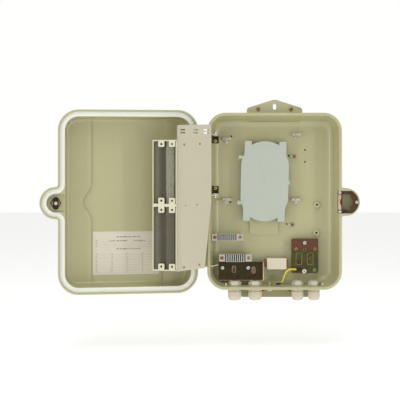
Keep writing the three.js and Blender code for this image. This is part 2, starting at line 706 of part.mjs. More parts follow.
function lidShell() {
  const face = LID_FLOOR_Y - LID_WALL;
  const skin = (rise) => loft([
    [-68, 152, 201, 42], [face + 9 - rise, 147, 196, 38], [face + 3.5 - rise, 143, 192, 34],
    [face - rise, 136, 185, 28],
  ]);
  const hollow = (rise) => loft([
    [-59, 140.8, 189.8, 31], [LID_FLOOR_Y + 7 - rise, 137.5, 186.5, 28],
    [LID_FLOOR_Y + 2 - rise, 134, 183, 25], [LID_FLOOR_Y - rise, 129.5, 178.5, 21],
  ]);
  const band = prismY(bandShape(LID_WALL), -60, -125, 5);
  const innerBand = prismY(bandShape(0), -50, -125, 5);
  const [x, z] = LATCH;
    const body = union(
    lidOutline(0, LID_LIP_Y, LID_FLANGE_Y),
    skin(0),
    skin(LID_BAND_RISE).intersect(band),
    rodY([x, z], LID_EAR_RADIUS - 3, -68, LID_EAR_Y, 20),
    box([130, x], [LID_EAR_Y, -68], [z - LID_EAR_RADIUS + 3, z + LID_EAR_RADIUS - 3]),
    knuckles(1, (low, high) => box([LID_HINGE[0], -154], [-66.8, -61], [low, high])),
  );
  const channel = cut(lidOutline(4.2, -59, -66), lidOutline(12.7, -58, -67));
  return cut(
    body,
    hingeBore(),
    lidOutline(3.7, LID_LIP_Y + 1, -60),
    channel,
    hollow(0),
    hollow(LID_BAND_RISE).intersect(innerBand),
    lidOutline(12.7, LID_LIP_Y + 1, -60.5),
    rodY([x, z], LID_EAR_RADIUS - 15.7, -59, -67, 16),
    box([147, x], [-67, -59], [z - 19.8, z + 19.8]),
    rodY([x, z], 9, -60, -90, ROUND),
  );
}

function lidGasket() {
  return cut(lidOutline(4.5, -60.3, -65.7), lidOutline(12.4, -59, -67));
}

function lidLabel() {
  const face = LID_FLOOR_Y - LID_BAND_RISE + GAP;
  return box([-73.3, 77], [face, face + 0.4], [-167, -69]);
}

function lockBarrel() {
  return cut(
    union(rodY(LATCH, 8.7, -58, -81), rodY(LATCH, 10.5, -80.3, -85, 16)),
    rodY(LATCH, 4.4, -50, -90),
  );
}

function lockNut() {
  const [x, z] = LATCH;
  return cut(prismY(hexagon([x, z], 12.2), -61.5, -66.7), rodY([x, z], 9, -60, -68));
}

function lockCam() {
  const [x, z] = LATCH;
  return union(
    rodY(LATCH, 4, -51, -84, 12),
    prismY(slot([x, z], CAM_WIDTH, CAM_LENGTH), -51, -53.5, 4),
  );
}

// ---- adapter frame, drawn shut ------------------------------------------------------------
function swingPlate() {
  const [near, far] = FRAME_LEAF_X;
  const [front, back] = [FRAME_LEAF_Y - FRAME_SHEET / 2, FRAME_LEAF_Y + FRAME_SHEET / 2];
  const leaf = new THREE.Shape();
  leaf.moveTo(far, -153);
  leaf.lineTo(far, 166.5);
  leaf.quadraticCurveTo(far, 170.5, far - 4, 170.7);
  leaf.lineTo(near, 173.5);
  leaf.lineTo(near, 0);
  leaf.lineTo(near + 17, -148.5);
  const ears = FRAME_BRACKETS.map(({ z, side }) => {
    const level = z + side * (BRACKET_HALF + 2);
    const [low, high] = [level - FRAME_SHEET / 2, level + FRAME_SHEET / 2];
    return cut(
      union(
        rodZ(FRAME_HINGE, 5.2, low, high),
        box([FRAME_HINGE[0], near + 6], [FRAME_HINGE[1] + 1.5, front + 0.3], [low, high]),
      ),
      rodZ(FRAME_HINGE, 2.4, low - 1, high + 1, 12),
    );
  });
  const slots = [89.9, 57.8, 28.9].flatMap((along) => [160.6, 154].map(
    (z) => box([FRAME_HINGE[0] + along - 6.5, FRAME_HINGE[0] + along + 6.5], [-56, -40], [z - 1.7, z + 1.7]),
  ));
  const holes = [[83.2, -7.8], [52.6, -6.2]].map(([along, z]) => [FRAME_HINGE[0] + along, z]);
  const edge = box([far - FRAME_SHEET, far], [front, back + 2], [-153, 166]);
  return cut(
    union(prismY(leaf, back, front, 3), edge, ...ears),
    ...slots,
    ...holes.map((at) => rodY(at, 1.6, -40, -56, 6)),
  );
}

// Turns a piece drawn along the panel (X along it, +Y behind it) into the panel's place.
function placedPanel(body) {
  const geometry = geometryOf(body);
  geometry.rotateZ(THREE.MathUtils.degToRad(FRAME_BEND));
  geometry.translate(FRAME_LEAF_X[1], FRAME_LEAF_Y - 2, 0);
  return solid(geometry);
}

const PANEL_TABS = [10.6, 35.3];
const PANEL_TAB_LEVELS = [[132.5, -1], [0, 1], [-15.4, -1], [-148, 1]];

function adapterFrame() {
  const [low, high] = [-0.6, 0.6];
  const windows = [[0, 132.5], [-148, -15.4]].map((span) => box([3, 51.5], [-3, 3], span));
  const tabs = PANEL_TAB_LEVELS.flatMap(([edge, side]) => PANEL_TABS.map((along) => {
    const reach = edge + side * 12;
    const hole = edge + side * 4.8;
    return cut(
      box([along - 7, along + 7], [low, high], [Math.min(edge - side, reach), Math.max(edge - side, reach)]),
      rodY([along, hole], 2.2, 3, -3, 8),
    );
  }));
  const panel = cut(box([0, PANEL_LENGTH], [low, high], [PANEL_BOTTOM, PANEL_TOP]), ...windows);
  const edge = box([PANEL_LENGTH - 1.2, PANEL_LENGTH], [-0.6, 5], [PANEL_BOTTOM, PANEL_TOP]);
  const seam = FRAME_LEAF_X[1];
  const y = [FRAME_LEAF_Y - 2.6, FRAME_LEAF_Y - 1.35];
  return union(
    placedPanel(union(panel, edge, ...tabs)),
    box([seam - 16, seam + 0.4], y, [PANEL_BOTTOM, PANEL_TOP]),
    box([seam - 66, seam - 10], y, [118, PANEL_TOP]),
    box([seam - 66, seam - 10], y, [PANEL_BOTTOM + 4, -132]),
  );
}

function adapterCover() {
  const z = [PANEL_BOTTOM + 2, PANEL_TOP - 2];
  return placedPanel(union(
    box([4, 53.6], [-8.2, -7], z),
    box([52.4, 53.6], [-8.2, -0.9], z),
    box([4, 5.2], [-8.2, -0.9], z),
  ));
}

// ---- assembly -----------------------------------------------------------------------------
add(cabinet, 'base_shell', 'shell', baseShell());
add(cabinet, 'top_bracket', 'shell', topBracket());
add(cabinet, 'bottom_bracket', 'shell', bottomBracket());
add(cabinet, 'keeper_plate', 'zinc', keeperPlate());
add(cabinet, 'hinge_pin', 'bright', hingePin());
const SCREW_ROWS = [
  { name: 'top_bracket_screw', finish: 'zinc', at: TOP_SCREWS, seat: SCREW_SEAT_Y, radius: 5, length: 4 },
  {
    name: 'bottom_bracket_screw', finish: 'copper', at: BOTTOM_SCREWS, seat: SCREW_SEAT_Y, radius: 4.4, length: 4,
  },
  { name: 'keeper_screw', finish: 'bright', at: KEEPER_SCREWS, seat: KEEPER_Y[0] - GAP, radius: 3.4, length: 8 },
];
for (const { name, finish, at, seat, radius, length } of SCREW_ROWS) {
  at.forEach((place, i) => add(cabinet, `${name}_${i + 1}`, finish, panScrew(place, seat, radius, length)));
}
for (const bracket of FRAME_BRACKETS) {
  add(cabinet, bracket.name, 'zinc', frameBracket(bracket));
}
FIBRE_CLIPS.forEach((at, i) => add(cabinet, `fibre_clip_${i + 1}`, 'nylon', fibreClip(at)));
SADDLES.forEach((at, i) => add(cabinet, `cable_saddle_${i + 1}`, 'bright', saddle(at)));
for (const clamp of CLAMPS) {
  add(cabinet, clamp.name, 'aluminium', cableClamp(clamp));
}
add(cabinet, 'cable_plate', 'zinc', cablePlate());
add(cabinet, 'earth_plate', 'zinc', earthPlate());
add(cabinet, 'terminal_bracket', 'zinc', union(
  box([-19.5, 33], [-14, -12.6], [-153, -134]),
  box([-19.5, -18.1], [-14, FLOOR_Y - GAP], [-153, -134]),
  box([31.6, 33], [-14, FLOOR_Y - GAP], [-153, -134]),
  box([-19.5, -18.1], [-24, -13], [-150, -137]),
  box([31.6, 33], [-24, -13], [-150, -137]),
));
const blockOutline = roundedRect([-15.7, 28.6], [-156.2, -131.3], 1.5);
add(cabinet, 'terminal_block', 'nylon', prismY(blockOutline, -14.3, -34, 2));
add(cabinet, 'tray_base', 'tray', trayBase());
add(cabinet, 'tray_cover', 'tray', trayCover());
add(cabinet, 'earth_wire', 'yellow', earthWire());
add(cabinet, 'earth_sleeve_upper', 'black', sleeve([64.2, -26, -159.5], [52, -26.2, -157.3], 3.1));
add(cabinet, 'earth_sleeve_lower', 'black', sleeve([14.9, -39.8, -185.4], [4.6, -41.5, -186.2], 2.4));
const [plateLugX, plateLugZ] = EARTH_SCREWS[3];
add(cabinet, 'earth_lug_upper', 'bright', cut(
  rodY([plateLugX, plateLugZ], 5, -22.8, -24, 14),
  rodY([plateLugX, plateLugZ], 2.2, -20, -26, 10),
));
add(cabinet, 'earth_lug_lower', 'bright', cut(
  union(
    rodZ(EARTH_STUD, 6, BOTTOM_INSIDE_Z + GAP, BOTTOM_INSIDE_Z + GAP + 1.5, 14),
    box([EARTH_STUD[0], 4], [-44.5, -39.5], [BOTTOM_INSIDE_Z + GAP, BOTTOM_INSIDE_Z + GAP + 1.5]),
  ),
  rodZ(EARTH_STUD, 3.4, -195, -180, 12),
));
add(cabinet, 'earth_bolt', 'bright', earthBolt());
add(cabinet, 'earth_nut', 'bright', earthNut());
for (const gland of GLANDS) {
  add(cabinet, `${gland.name}_body`, 'nylon', glandBody(gland));
  add(cabinet, `${gland.name}_locknut`, 'nylon', glandLocknut(gland));
  add(cabinet, `${gland.name}_cap`, 'nylon', glandCap(gland));
}

const lid = swung(LID_HINGE, -LID_OPEN);
add(lid, 'lid_shell', 'shell', lidShell());
add(lid, 'lid_gasket', 'gasket', lidGasket());
add(lid, 'lid_label', 'paper', lidLabel());
add(lid, 'lock_barrel', 'zinc', lockBarrel());
add(lid, 'lock_nut', 'zinc', lockNut());
add(lid, 'lock_cam', 'zinc', lockCam());

const frame = swung(FRAME_HINGE, -FRAME_OPEN);
add(frame, 'swing_plate', 'taupe', swingPlate());
add(frame, 'adapter_frame', 'cream', adapterFrame());
add(frame, 'adapter_cover', 'smoked', adapterCover());

export default cabinet;
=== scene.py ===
"""A wall-mounted fibre termination box, standing open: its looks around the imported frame.

Sizes in the classes are millimetres in the frame's axes: +X right, +Y to the wall, +Z up. Pieces of the lid
and of the swing frame are drawn shut, then turned about their hinges to where the frame has them at rest.
"""

from __future__ import annotations

import logging
import math
from dataclasses import dataclass, field
from enum import Enum
from typing import Any, Callable, Sequence

import bmesh
import bpy
import numpy as np
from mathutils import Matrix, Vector

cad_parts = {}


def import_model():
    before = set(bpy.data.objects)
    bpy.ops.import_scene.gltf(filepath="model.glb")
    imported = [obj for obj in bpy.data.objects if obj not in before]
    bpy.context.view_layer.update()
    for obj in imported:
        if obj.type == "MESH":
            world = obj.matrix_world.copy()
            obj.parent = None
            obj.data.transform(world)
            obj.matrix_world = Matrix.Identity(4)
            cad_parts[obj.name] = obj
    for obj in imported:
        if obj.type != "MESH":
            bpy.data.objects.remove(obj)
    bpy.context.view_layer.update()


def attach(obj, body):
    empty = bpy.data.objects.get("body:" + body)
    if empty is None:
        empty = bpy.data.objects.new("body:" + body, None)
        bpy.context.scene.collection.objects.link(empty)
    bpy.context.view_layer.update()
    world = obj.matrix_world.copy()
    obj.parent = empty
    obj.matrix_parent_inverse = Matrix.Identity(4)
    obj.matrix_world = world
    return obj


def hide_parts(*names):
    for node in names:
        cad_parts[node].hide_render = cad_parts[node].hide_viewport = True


log = logging.getLogger("fibre_box")

MM = 0.001
RIM_Y = -60.0
LATCH = (161.5, -2.0)
LID_HINGE = (-165.0, -60.0)
LID_OPEN = -171.0
FRAME_HINGE = (-133.5, -54.0)
FRAME_OPEN = -148.0
KNUCKLE_ENDS = (-149.0, -97.0, -30.0, 30.0, 97.0, 149.0)

Colour = tuple[float, float, float]


# ---- outlines and forms ---------------------------------------------------------------------


class Axis(Enum):
    """The direction that a turned or extruded form runs along."""

    Y = "y"
    Z = "z"


def arc(centre: Sequence[float], radius: float, start: float, end: float, steps: int = 8) -> np.ndarray:
    """Points of centre + radius * (cos a, sin a), with a running from start to end.

    Args:
        centre: The arc's centre.
        radius: The arc's radius.
        start: First angle in degrees.
        end: Last angle in degrees.
        steps: Number of chords.

    Returns:
        An array of steps + 1 points.
    """
    a = np.radians(np.linspace(start, end, steps + 1))
    return np.stack([centre[0] + radius * np.cos(a), centre[1] + radius * np.sin(a)], axis=1)


def run(start: Sequence[float], end: Sequence[float], steps: int = 1) -> np.ndarray:
    """Evenly spaced points strictly between two points: start + (end - start) * k / steps."""
    t = np.linspace(0, 1, steps + 1)[1:-1, None]
    return np.asarray(start, float) + (np.asarray(end, float) - np.asarray(start, float)) * t


def joined(*runs: np.ndarray) -> np.ndarray:
    """Runs of points end to end as one closed outline, without doubled points.

    Args:
        runs: The runs, in order.

    Returns:
        The outline.
    """
    flat = np.concatenate([np.asarray(r, float).reshape(-1, 2) for r in runs])
    step = np.linalg.norm(flat - np.roll(flat, 1, axis=0), axis=1)
    return flat[step > 1e-5]


def rounded(x: Sequence[float], z: Sequence[float], radius: float, steps: int = 8) -> np.ndarray:
    """A rectangle with quarter-circle corners.

    Args:
        x: Left and right edge.
        z: Lower and upper edge.
        radius: Corner radius.
        steps: Chords in each corner.

    Returns:
        The outline, anticlockwise.
    """
    r = min(radius, (x[1] - x[0]) / 2 - 0.01, (z[1] - z[0]) / 2 - 0.01)
    return joined(
        arc((x[1] - r, z[1] - r), r, 0, 90, steps),
        arc((x[0] + r, z[1] - r), r, 90, 180, steps),
        arc((x[0] + r, z[0] + r), r, 180, 270, steps),
        arc((x[1] - r, z[0] + r), r, 270, 360, steps),
    )


def hexagon(centre: Sequence[float], radius: float, turn: float = 0.0) -> np.ndarray:
    """A regular hexagon, radius being out to its corners."""
    return arc(centre, radius, turn, turn + 300, 5)


def shell_ring(
    w: float, h: float, r: float, ear: float = 0.0, fillet: float = 5.0, corner: int = 14, bow: int = 28
) -> np.ndarray:
    """A rounded rectangle whose right side may carry the latch's ear, always with the same point count.

    The ear leaves the side through two hollow fillets and ends in a half circle about the latch. Without an
    ear, the same number of points is spread evenly over the same stretch of the straight side.

    Args:
        w: Half width.
        h: Half height.
        r: Corner radius.
        ear: Ear radius, or 0 for none.
        fillet: Radius of the fillets beside the ear.
        corner: Chords in each corner.
        bow: Chords in the ear's half circle.

    Returns:
        The outline, anticlockwise from the lower end of the right side.
    """
    cx, cz = LATCH
    reach = ear if ear else 31.0
    low, high = cz - reach - fillet, cz + reach + fillet
    below = run((w, r - h), (w, low), 4)
    above = run((w, high), (w, h - r), 4)
    if ear:
        side = np.concatenate([
            arc((w + fillet, low), fillet, 180, 90, 6),
            arc((cx, cz), ear, -90, 90, bow),
            arc((w + fillet, high), fillet, 270, 180, 6),
        ])
    else:
        count = 6 + 1 + bow + 1 + 6 + 1
        side = np.linspace((w, low), (w, high), count)
    return np.concatenate([
        below, side, above,
        arc((w - r, h - r), r, 0, 90, corner), run((w - r, h), (r - w, h), 4),
        arc((r - w, h - r), r, 90, 180, corner), run((-w, h - r), (-w, r - h), 4),
        arc((r - w, r - h), r, 180, 270, corner), run((r - w, -h), (w - r, -h), 4),
        arc((w - r, r - h), r, 270, 360, corner),
    ])


def at_depth(outline: np.ndarray, y: float) -> np.ndarray:
    """An outline in X and Z laid in the plane at that Y."""
    return np.stack([outline[:, 0], np.full(len(outline), y), outline[:, 1]], axis=1)


def turned_about(points: np.ndarray, pivot: Sequence[float], degrees: float) -> np.ndarray:
    """Points turned about a vertical line: the plane rotation of X and Y round the pivot.

    Args:
        points: Array of points, X, Y and Z in the last place.
        pivot: X and Y of the line.
        degrees: Angle, anticlockwise seen from above.

    Returns:
        The turned points.
    """
    c, s = math.cos(math.radians(degrees)), math.sin(math.radians(degrees))
    x, y = points[..., 0] - pivot[0], points[..., 1] - pivot[1]
    return np.stack([pivot[0] + c * x - s * y, pivot[1] + s * x + c * y, points[..., 2]], axis=-1)


class Form:
    """Closed surfaces as numpy points and faces, in millimetres, before they become a mesh."""

    def __init__(self) -> None:
        """Starts empty."""
        self.points = np.zeros((0, 3))
        self.faces: list[list[int]] = []

    def grid(self, rows: np.ndarray, ring: bool = False) -> Form:
        """Adds a skin over rows of points, each row a closed loop.

        Args:
            rows: Array of rows by columns by 3.
            ring: Whether the last row joins the first one; otherwise both ends are capped.

        Returns:
            The form itself.
        """
        count, wide = rows.shape[:2]
        index = np.arange(count * wide).reshape(count, wide) + len(self.points)
        near = np.concatenate([index, index[:1]]) if ring else index
        far = np.roll(near, -1, axis=1)
        quads = np.stack([near[:-1], far[:-1], far[1:], near[1:]], axis=-1).reshape(-1, 4)
        self.points = np.concatenate([self.points, rows.reshape(-1, 3)])
        self.faces += quads.tolist()
        if not ring:
            self.faces += [index[0][::-1].tolist(), index[-1].tolist()]
        return self

    def prism(self, outline: np.ndarray, low: float, high: float, axis: Axis = Axis.Y) -> Form:
        """Adds an outline carried straight from low to high along an axis.

        Args:
            outline: A closed outline.
            low: One end of the carry.
            high: The other end.
            axis: The direction of the carry.

        Returns:
            The form itself.
        """
        if axis is Axis.Y:
            return self.grid(np.stack([at_depth(outline, low), at_depth(outline, high)]))
        flat = [np.column_stack([outline, np.full(len(outline), z)]) for z in (low, high)]
        return self.grid(np.stack(flat))

    def box(self, x: Sequence[float], y: Sequence[float], z: Sequence[float]) -> Form:
        """Adds a block between those planes."""
        return self.prism(np.array([(x[0], z[0]), (x[1], z[0]), (x[1], z[1]), (x[0], z[1])]), y[0], y[1])

    def lathe(
        self, profile: np.ndarray, centre: Sequence[float], axis: Axis = Axis.Y, sides: int = 32, ring: bool = False
    ) -> Form:
        """Adds a profile of (radius, height) pairs turned about a line: (r cos a, r sin a, height).

        Args:
            profile: Radius and place along the axis.
            centre: The line's other two coordinates.
            axis: The line's direction.
            sides: Steps round the line.
            ring: Whether the profile closes on itself, as for a washer.

        Returns:
            The form itself.
        """
        profile = np.asarray(profile, float)
        a = np.linspace(0, 2 * math.pi, sides, endpoint=False)
        across = centre[0] + np.outer(profile[:, 0], np.cos(a))
        other = centre[1] + np.outer(profile[:, 0], np.sin(a))
        along = np.repeat(profile[:, 1:2], sides, axis=1)
        order = (across, along, other) if axis is Axis.Y else (across, other, along)
        return self.grid(np.stack(order, axis=-1), ring)

    def rod(
        self, centre: Sequence[float], radius: float, low: float, high: float, axis: Axis = Axis.Y, sides: int = 32
    ) -> Form:
        """Adds a plain cylinder."""
        return self.lathe(np.array([(radius, low), (radius, high)]), centre, axis, sides)

    def tube(self, path: np.ndarray, radius: float, sides: int = 16) -> Form:
        """Adds a circle carried along a path, in the plane across it: path + radius * (u cos a + v sin a).

        Args:
            path: Points in space.
            radius: The circle's radius.
            sides: Steps round the circle.

        Returns:
            The form itself.
        """
        tangent = np.gradient(path, axis=0)
        tangent /= np.linalg.norm(tangent, axis=1, keepdims=True)
        u = np.cross(tangent, (0.0, 1.0, 0.0))
        u /= np.linalg.norm(u, axis=1, keepdims=True)
        v = np.cross(tangent, u)
        a = np.linspace(0, 2 * math.pi, sides, endpoint=False)[None, :, None]
        return self.grid(path[:, None] + radius * (u[:, None] * np.cos(a) + v[:, None] * np.sin(a)))

    def moved(self, change: Callable[[np.ndarray], np.ndarray]) -> Form:
        """Passes all points through a function."""
        self.points = change(self.points)
        return self

    @staticmethod
    def read(mesh: bpy.types.Mesh) -> Form:
        """The surfaces of a mesh as a form.

        Args:
            mesh: A mesh in metres.

        Returns:
            Its surfaces in millimetres.
        """
        form = Form()
        flat = np.zeros(len(mesh.vertices) * 3)
        mesh.vertices.foreach_get("co", flat)
        form.points = flat.reshape(-1, 3) / MM
        form.faces = [list(p.vertices) for p in mesh.polygons]
        return form

    def mesh(self, name: str) -> bpy.types.Mesh:
        """The form as a mesh in metres, with its faces pointing out.

        Args:
            name: The mesh's name.

        Returns:
            The mesh.
        """
        mesh = bpy.data.meshes.new(name)
        mesh.from_pydata((self.points * MM).tolist(), [], self.faces)
        whole = bmesh.new()
        whole.from_mesh(mesh)
        bmesh.ops.recalc_face_normals(whole, faces=whole.faces)
        whole.to_mesh(mesh)
        whole.free()
        return mesh


class Joint(Enum):
    """What a carving step does with its tool."""

    JOIN = "UNION"
    CUT = "DIFFERENCE"
    KEEP = "INTERSECT"


def combined(body: Form, steps: Sequence[tuple[Form, Joint]]) -> Form:
    """A form worked on by others, one after the other.

    Args:
        body: The form to start from.
        steps: Each closed tool and what is done with it.

    Returns:
        The result as a form.
    """
    scene = bpy.context.scene.collection
    host = bpy.data.objects.new("host", body.mesh("host"))
    scene.objects.link(host)
    for form, joint in steps:
        tool = bpy.data.objects.new("tool", form.mesh("tool"))
        scene.objects.link(tool)
        modifier = host.modifiers.new("carve", "BOOLEAN")
        modifier.operation, modifier.solver, modifier.object = joint.value, "MANIFOLD", tool
    made = bpy.data.meshes.new_from_object(host.evaluated_get(bpy.context.evaluated_depsgraph_get()))
    result = Form.read(made)
    bpy.data.meshes.remove(made)
    for used in [m.object for m in host.modifiers] + [host]:
        old = used.data
        bpy.data.objects.remove(used)
        bpy.data.meshes.remove(old)
    return result


def carved(body: Form, cuts: Sequence[Form] = (), joins: Sequence[Form] = ()) -> Form:
    """A form with others joined to it and then others cut away."""
    return combined(body, [(form, Joint.JOIN) for form in joins] + [(form, Joint.CUT) for form in cuts])


# ---- finishes -------------------------------------------------------------------------------


class Sock:
    """A node's output that arithmetic can be written with."""

    def __init__(self, graph: Graph, socket: bpy.types.NodeSocket) -> None:
        """Wraps one output socket of a graph."""
        self.graph = graph
        self.socket = socket

    def _maths(self, operation: str, first: Any, second: Any) -> Sock:
        """One Math node on two values."""
        return self.graph.node("ShaderNodeMath", {"operation": operation}, {0: first, 1: second})

    def __add__(self, other: Any) -> Sock:
        """self + other."""
        return self._maths("ADD", self, other)

    def __radd__(self, other: Any) -> Sock:
        """other + self."""
        return self._maths("ADD", other, self)

    def __sub__(self, other: Any) -> Sock:
        """self - other."""
        return self._maths("SUBTRACT", self, other)

    def __rsub__(self, other: Any) -> Sock:
        """other - self."""
        return self._maths("SUBTRACT", other, self)

    def __mul__(self, other: Any) -> Sock:
        """self * other."""
        return self._maths("MULTIPLY", self, other)

    def __rmul__(self, other: Any) -> Sock:
        """other * self."""
        return self._maths("MULTIPLY", other, self)

    def below(self, limit: float) -> Sock:
        """1 where self is under the limit, else 0."""
        return self._maths("LESS_THAN", self, limit)

    def above(self, limit: float) -> Sock:
        """1 where self is over the limit, else 0."""
        return self._maths("GREATER_THAN", self, limit)

    def wrapped(self, period: float) -> Sock:
        """The remainder of self in steps of period."""
        return self._maths("FLOORED_MODULO", self, period)

    def either(self, other: Any) -> Sock:
        """The larger of the two."""
        return self._maths("MAXIMUM", self, other)

    def absolute(self) -> Sock:
        """self without its sign."""
        return self._maths("ABSOLUTE", self, 0.0)

    def band(self, low: float, high: float) -> Sock:
        """1 between two limits, else 0."""
        return self.above(low) * self.below(high)

    def smooth(self, low: float, high: float) -> Sock:
        """0 below low and 1 above high, with a soft step between."""
        settings = {"interpolation_type": "SMOOTHSTEP"}
        return self.graph.node("ShaderNodeMapRange", settings, {"Value": self, "From Min": low, "From Max": high})


class Graph:
    """The nodes of one material."""

    def __init__(self, name: str) -> None:
        """Makes a material with one shader and its output.

        Args:
            name: The material's name.
        """
        self.material = bpy.data.materials.new(name)
        self.material.use_nodes = True
        self.tree = self.material.node_tree
        self.tree.nodes.clear()
        self.shader = self.tree.nodes.new("ShaderNodeBsdfPrincipled")
        output = self.tree.nodes.new("ShaderNodeOutputMaterial")
        self.tree.links.new(self.shader.outputs["BSDF"], output.inputs["Surface"])

    def node(self, kind: str, settings: dict[str, Any], inputs: dict[Any, Any], output: int = 0) -> Sock:
        """Adds a node.

        Args:
            kind: The node's type.
            settings: Its properties, and under "stops" a ramp's places and colours.
            inputs: A value or a Sock for each socket that is set.
            output: Which output to hand back.

        Returns:
            That output.
        """
        made = self.tree.nodes.new(kind)
        for key, value in settings.items():
            if key == "stops":
                elements = made.color_ramp.elements
                for place, colour in value[2:]:
                    elements.new(place)
                for element, (place, colour) in zip(elements, sorted(value, key=lambda stop: stop[0])):
                    element.position, element.color = place, (*colour, 1.0)
            else:
                setattr(made, key, value)
        self.feed(made, inputs)
        return Sock(self, made.outputs[output])

    def feed(self, made: bpy.types.Node, inputs: dict[Any, Any]) -> None:
        """Links or sets a node's sockets.

        Args:
            made: The node.
            inputs: A value or a Sock for each socket.
        """
        for key, value in inputs.items():
            socket = made.inputs[key]
            if isinstance(value, Sock):
                self.tree.links.new(value.socket, socket)
            elif socket.type == "RGBA" and len(value) == 3:
                socket.default_value = (*value, 1.0)
            else:
                socket.default_value = value

    def place(self, scale: Sequence[float] = (1, 1, 1)) -> Sock:
        """Object coordinates, scaled along each axis."""
        source = self.node("ShaderNodeTexCoord", {}, {}, 3)
        return self.node("ShaderNodeMapping", {}, {"Vector": source, "Scale": scale})

    def axes(self) -> tuple[Sock, Sock, Sock]:
        """Object coordinates as three numbers.

        Returns:
            The three coordinates, in metres.
        """
        made = self.tree.nodes.new("ShaderNodeSeparateXYZ")
        self.feed(made, {0: self.node("ShaderNodeTexCoord", {}, {}, 3)})
        return tuple(Sock(self, out) for out in made.outputs)

    def surface(self) -> tuple[Sock, Sock]:
        """The piece's own UV map as two numbers.

        Returns:
            The two numbers, from 0 to 1 across the sheet.
        """
        made = self.tree.nodes.new("ShaderNodeSeparateXYZ")
        self.feed(made, {0: self.node("ShaderNodeTexCoord", {}, {}, 2)})
        return Sock(self, made.outputs[0]), Sock(self, made.outputs[1])

    def noise(self, size_mm: float, detail: float = 2.0, stretch: Sequence[float] = (1, 1, 1)) -> Sock:
        """Soft noise whose blotches are about that size."""
        inputs = {"Vector": self.place(stretch), "Scale": 1000.0 / size_mm, "Detail": detail}
        return self.node("ShaderNodeTexNoise", {}, inputs)

    def mixed(self, first: Any, second: Any, share: Any) -> Sock:
        """Two colours mixed by a share.

        Args:
            first: The colour at 0.
            second: The colour at 1.
            share: How much of the second.

        Returns:
            The mixed colour.
        """
        made = self.tree.nodes.new("ShaderNodeMix")
        made.data_type = "RGBA"
        self.feed(made, {0: share, 6: first, 7: second})
        return Sock(self, made.outputs[2])

    def ramp(self, share: Sock, stops: Sequence[tuple[float, Colour]]) -> Sock:
        """A colour ramp read at a share."""
        return self.node("ShaderNodeValToRGB", {"stops": list(stops)}, {0: share})

    def bump(self, height: Sock, depth_mm: float, strength: float = 1.0) -> Sock:
        """A bump of that depth."""
        return self.node("ShaderNodeBump", {}, {"Height": height, "Distance": depth_mm * MM, "Strength": strength})


def tinted(colour: Colour, factor: float) -> Colour:
    """A colour made darker or lighter by a factor."""
    return tuple(min(1.0, c * factor) for c in colour)


@dataclass(frozen=True)
class Moulded:
    """Moulded plastic: faint blotches, a fine grain and small changes of gloss."""

    name: str
    colour: Colour
    rough: float = 0.5
    variation: float = 0.06
    blotch_mm: float = 60.0
    grain_mm: float = 0.9
    grain_depth_mm: float = 0.02
    coat: float = 0.0
    coat_rough: float = 0.25

    def build(self) -> bpy.types.Material:
        """Makes the material.

        Returns:
            The finished material.
        """
        g = Graph(self.name)
        wide, fine = g.noise(self.blotch_mm, 3), g.noise(self.grain_mm, 2)
        flow = g.noise(self.blotch_mm * 0.35, 2, (1, 1, 0.35))
        base = g.mixed(tinted(self.colour, 1 - self.variation), tinted(self.colour, 1 + self.variation), wide)
        worn = g.mixed(base, tinted(self.colour, 1 - 1.6 * self.variation), flow.smooth(0.56, 0.8) * 0.55)
        speck = g.mixed(worn, tinted(self.colour, 0.8), fine.smooth(0.62, 0.75) * 0.16)
        g.feed(g.shader, {
            "Base Color": speck,
            "Roughness": self.rough - 0.06 + 0.12 * flow,
            "Coat Weight": self.coat,
            "Coat Roughness": self.coat_rough,
            "Normal": g.bump(fine, self.grain_depth_mm, 0.6),
        })
        return g.material


@dataclass(frozen=True)
class PowderCoat:
    """Painted sheet metal: a fine orange peel and a little dust."""

    name: str
    colour: Colour
    rough: float = 0.45

    def build(self) -> bpy.types.Material:
        """Makes the material.

        Returns:
            The finished material.
        """
        g = Graph(self.name)
        wide, peel, dust = g.noise(70, 2), g.noise(1.4, 2), g.noise(0.7, 1)
        base = g.mixed(tinted(self.colour, 0.97), tinted(self.colour, 1.03), wide)
        g.feed(g.shader, {
            "Base Color": g.mixed(base, tinted(self.colour, 0.72), dust.smooth(0.66, 0.76) * 0.3),
            "Roughness": self.rough - 0.05 + 0.1 * peel,
            "Normal": g.bump(peel, 0.03, 0.5),
        })
        return g.material


@dataclass(frozen=True)
class Passivated:
    """Zinc plate with a yellow chromate film, whose hue drifts between the given tints, with an optional painted
    reflection: another tint above a given height.
    """

    name: str
    tints: tuple[Colour, ...]
    blotch_mm: float = 16.0
    rough: float = 0.34
    # The height split and the tint above it paint a reflection into the colour.
    reflection_split_z: float | None = None
    above: Colour = (0.2, 0.07, 0.04)

    def build(self) -> bpy.types.Material:
        """Makes the material.

        Returns:
            The finished material.
        """
        g = Graph(self.name)
        drift, fine = g.noise(self.blotch_mm, 4), g.noise(2.2, 3)
        streak = g.noise(3.5, 3, (1, 1, 0.18))
        share = drift * 0.75 + streak * 0.25
        places = np.linspace(0.36, 0.64, len(self.tints))
        base = g.ramp(share, list(zip(places.tolist(), self.tints)))
        # Painted reflection: above a wavering height the colour turns to the other tint.
        if self.reflection_split_z is not None:
            height = g.axes()[2] * 1000.0 + (drift - 0.5) * 26.0
            base = g.mixed(base, self.above, height.smooth(self.reflection_split_z - 5, self.reflection_split_z + 5) * 0.9)
        g.feed(g.shader, {
            "Base Color": g.mixed(base, tinted(self.tints[0], 0.5), fine.smooth(0.6, 0.75) * 0.3),
            "Metallic": 0.85,
            "Roughness": self.rough - 0.08 + 0.2 * streak,
            "Normal": g.bump(streak, 0.02, 0.5),
        })
        return g.material


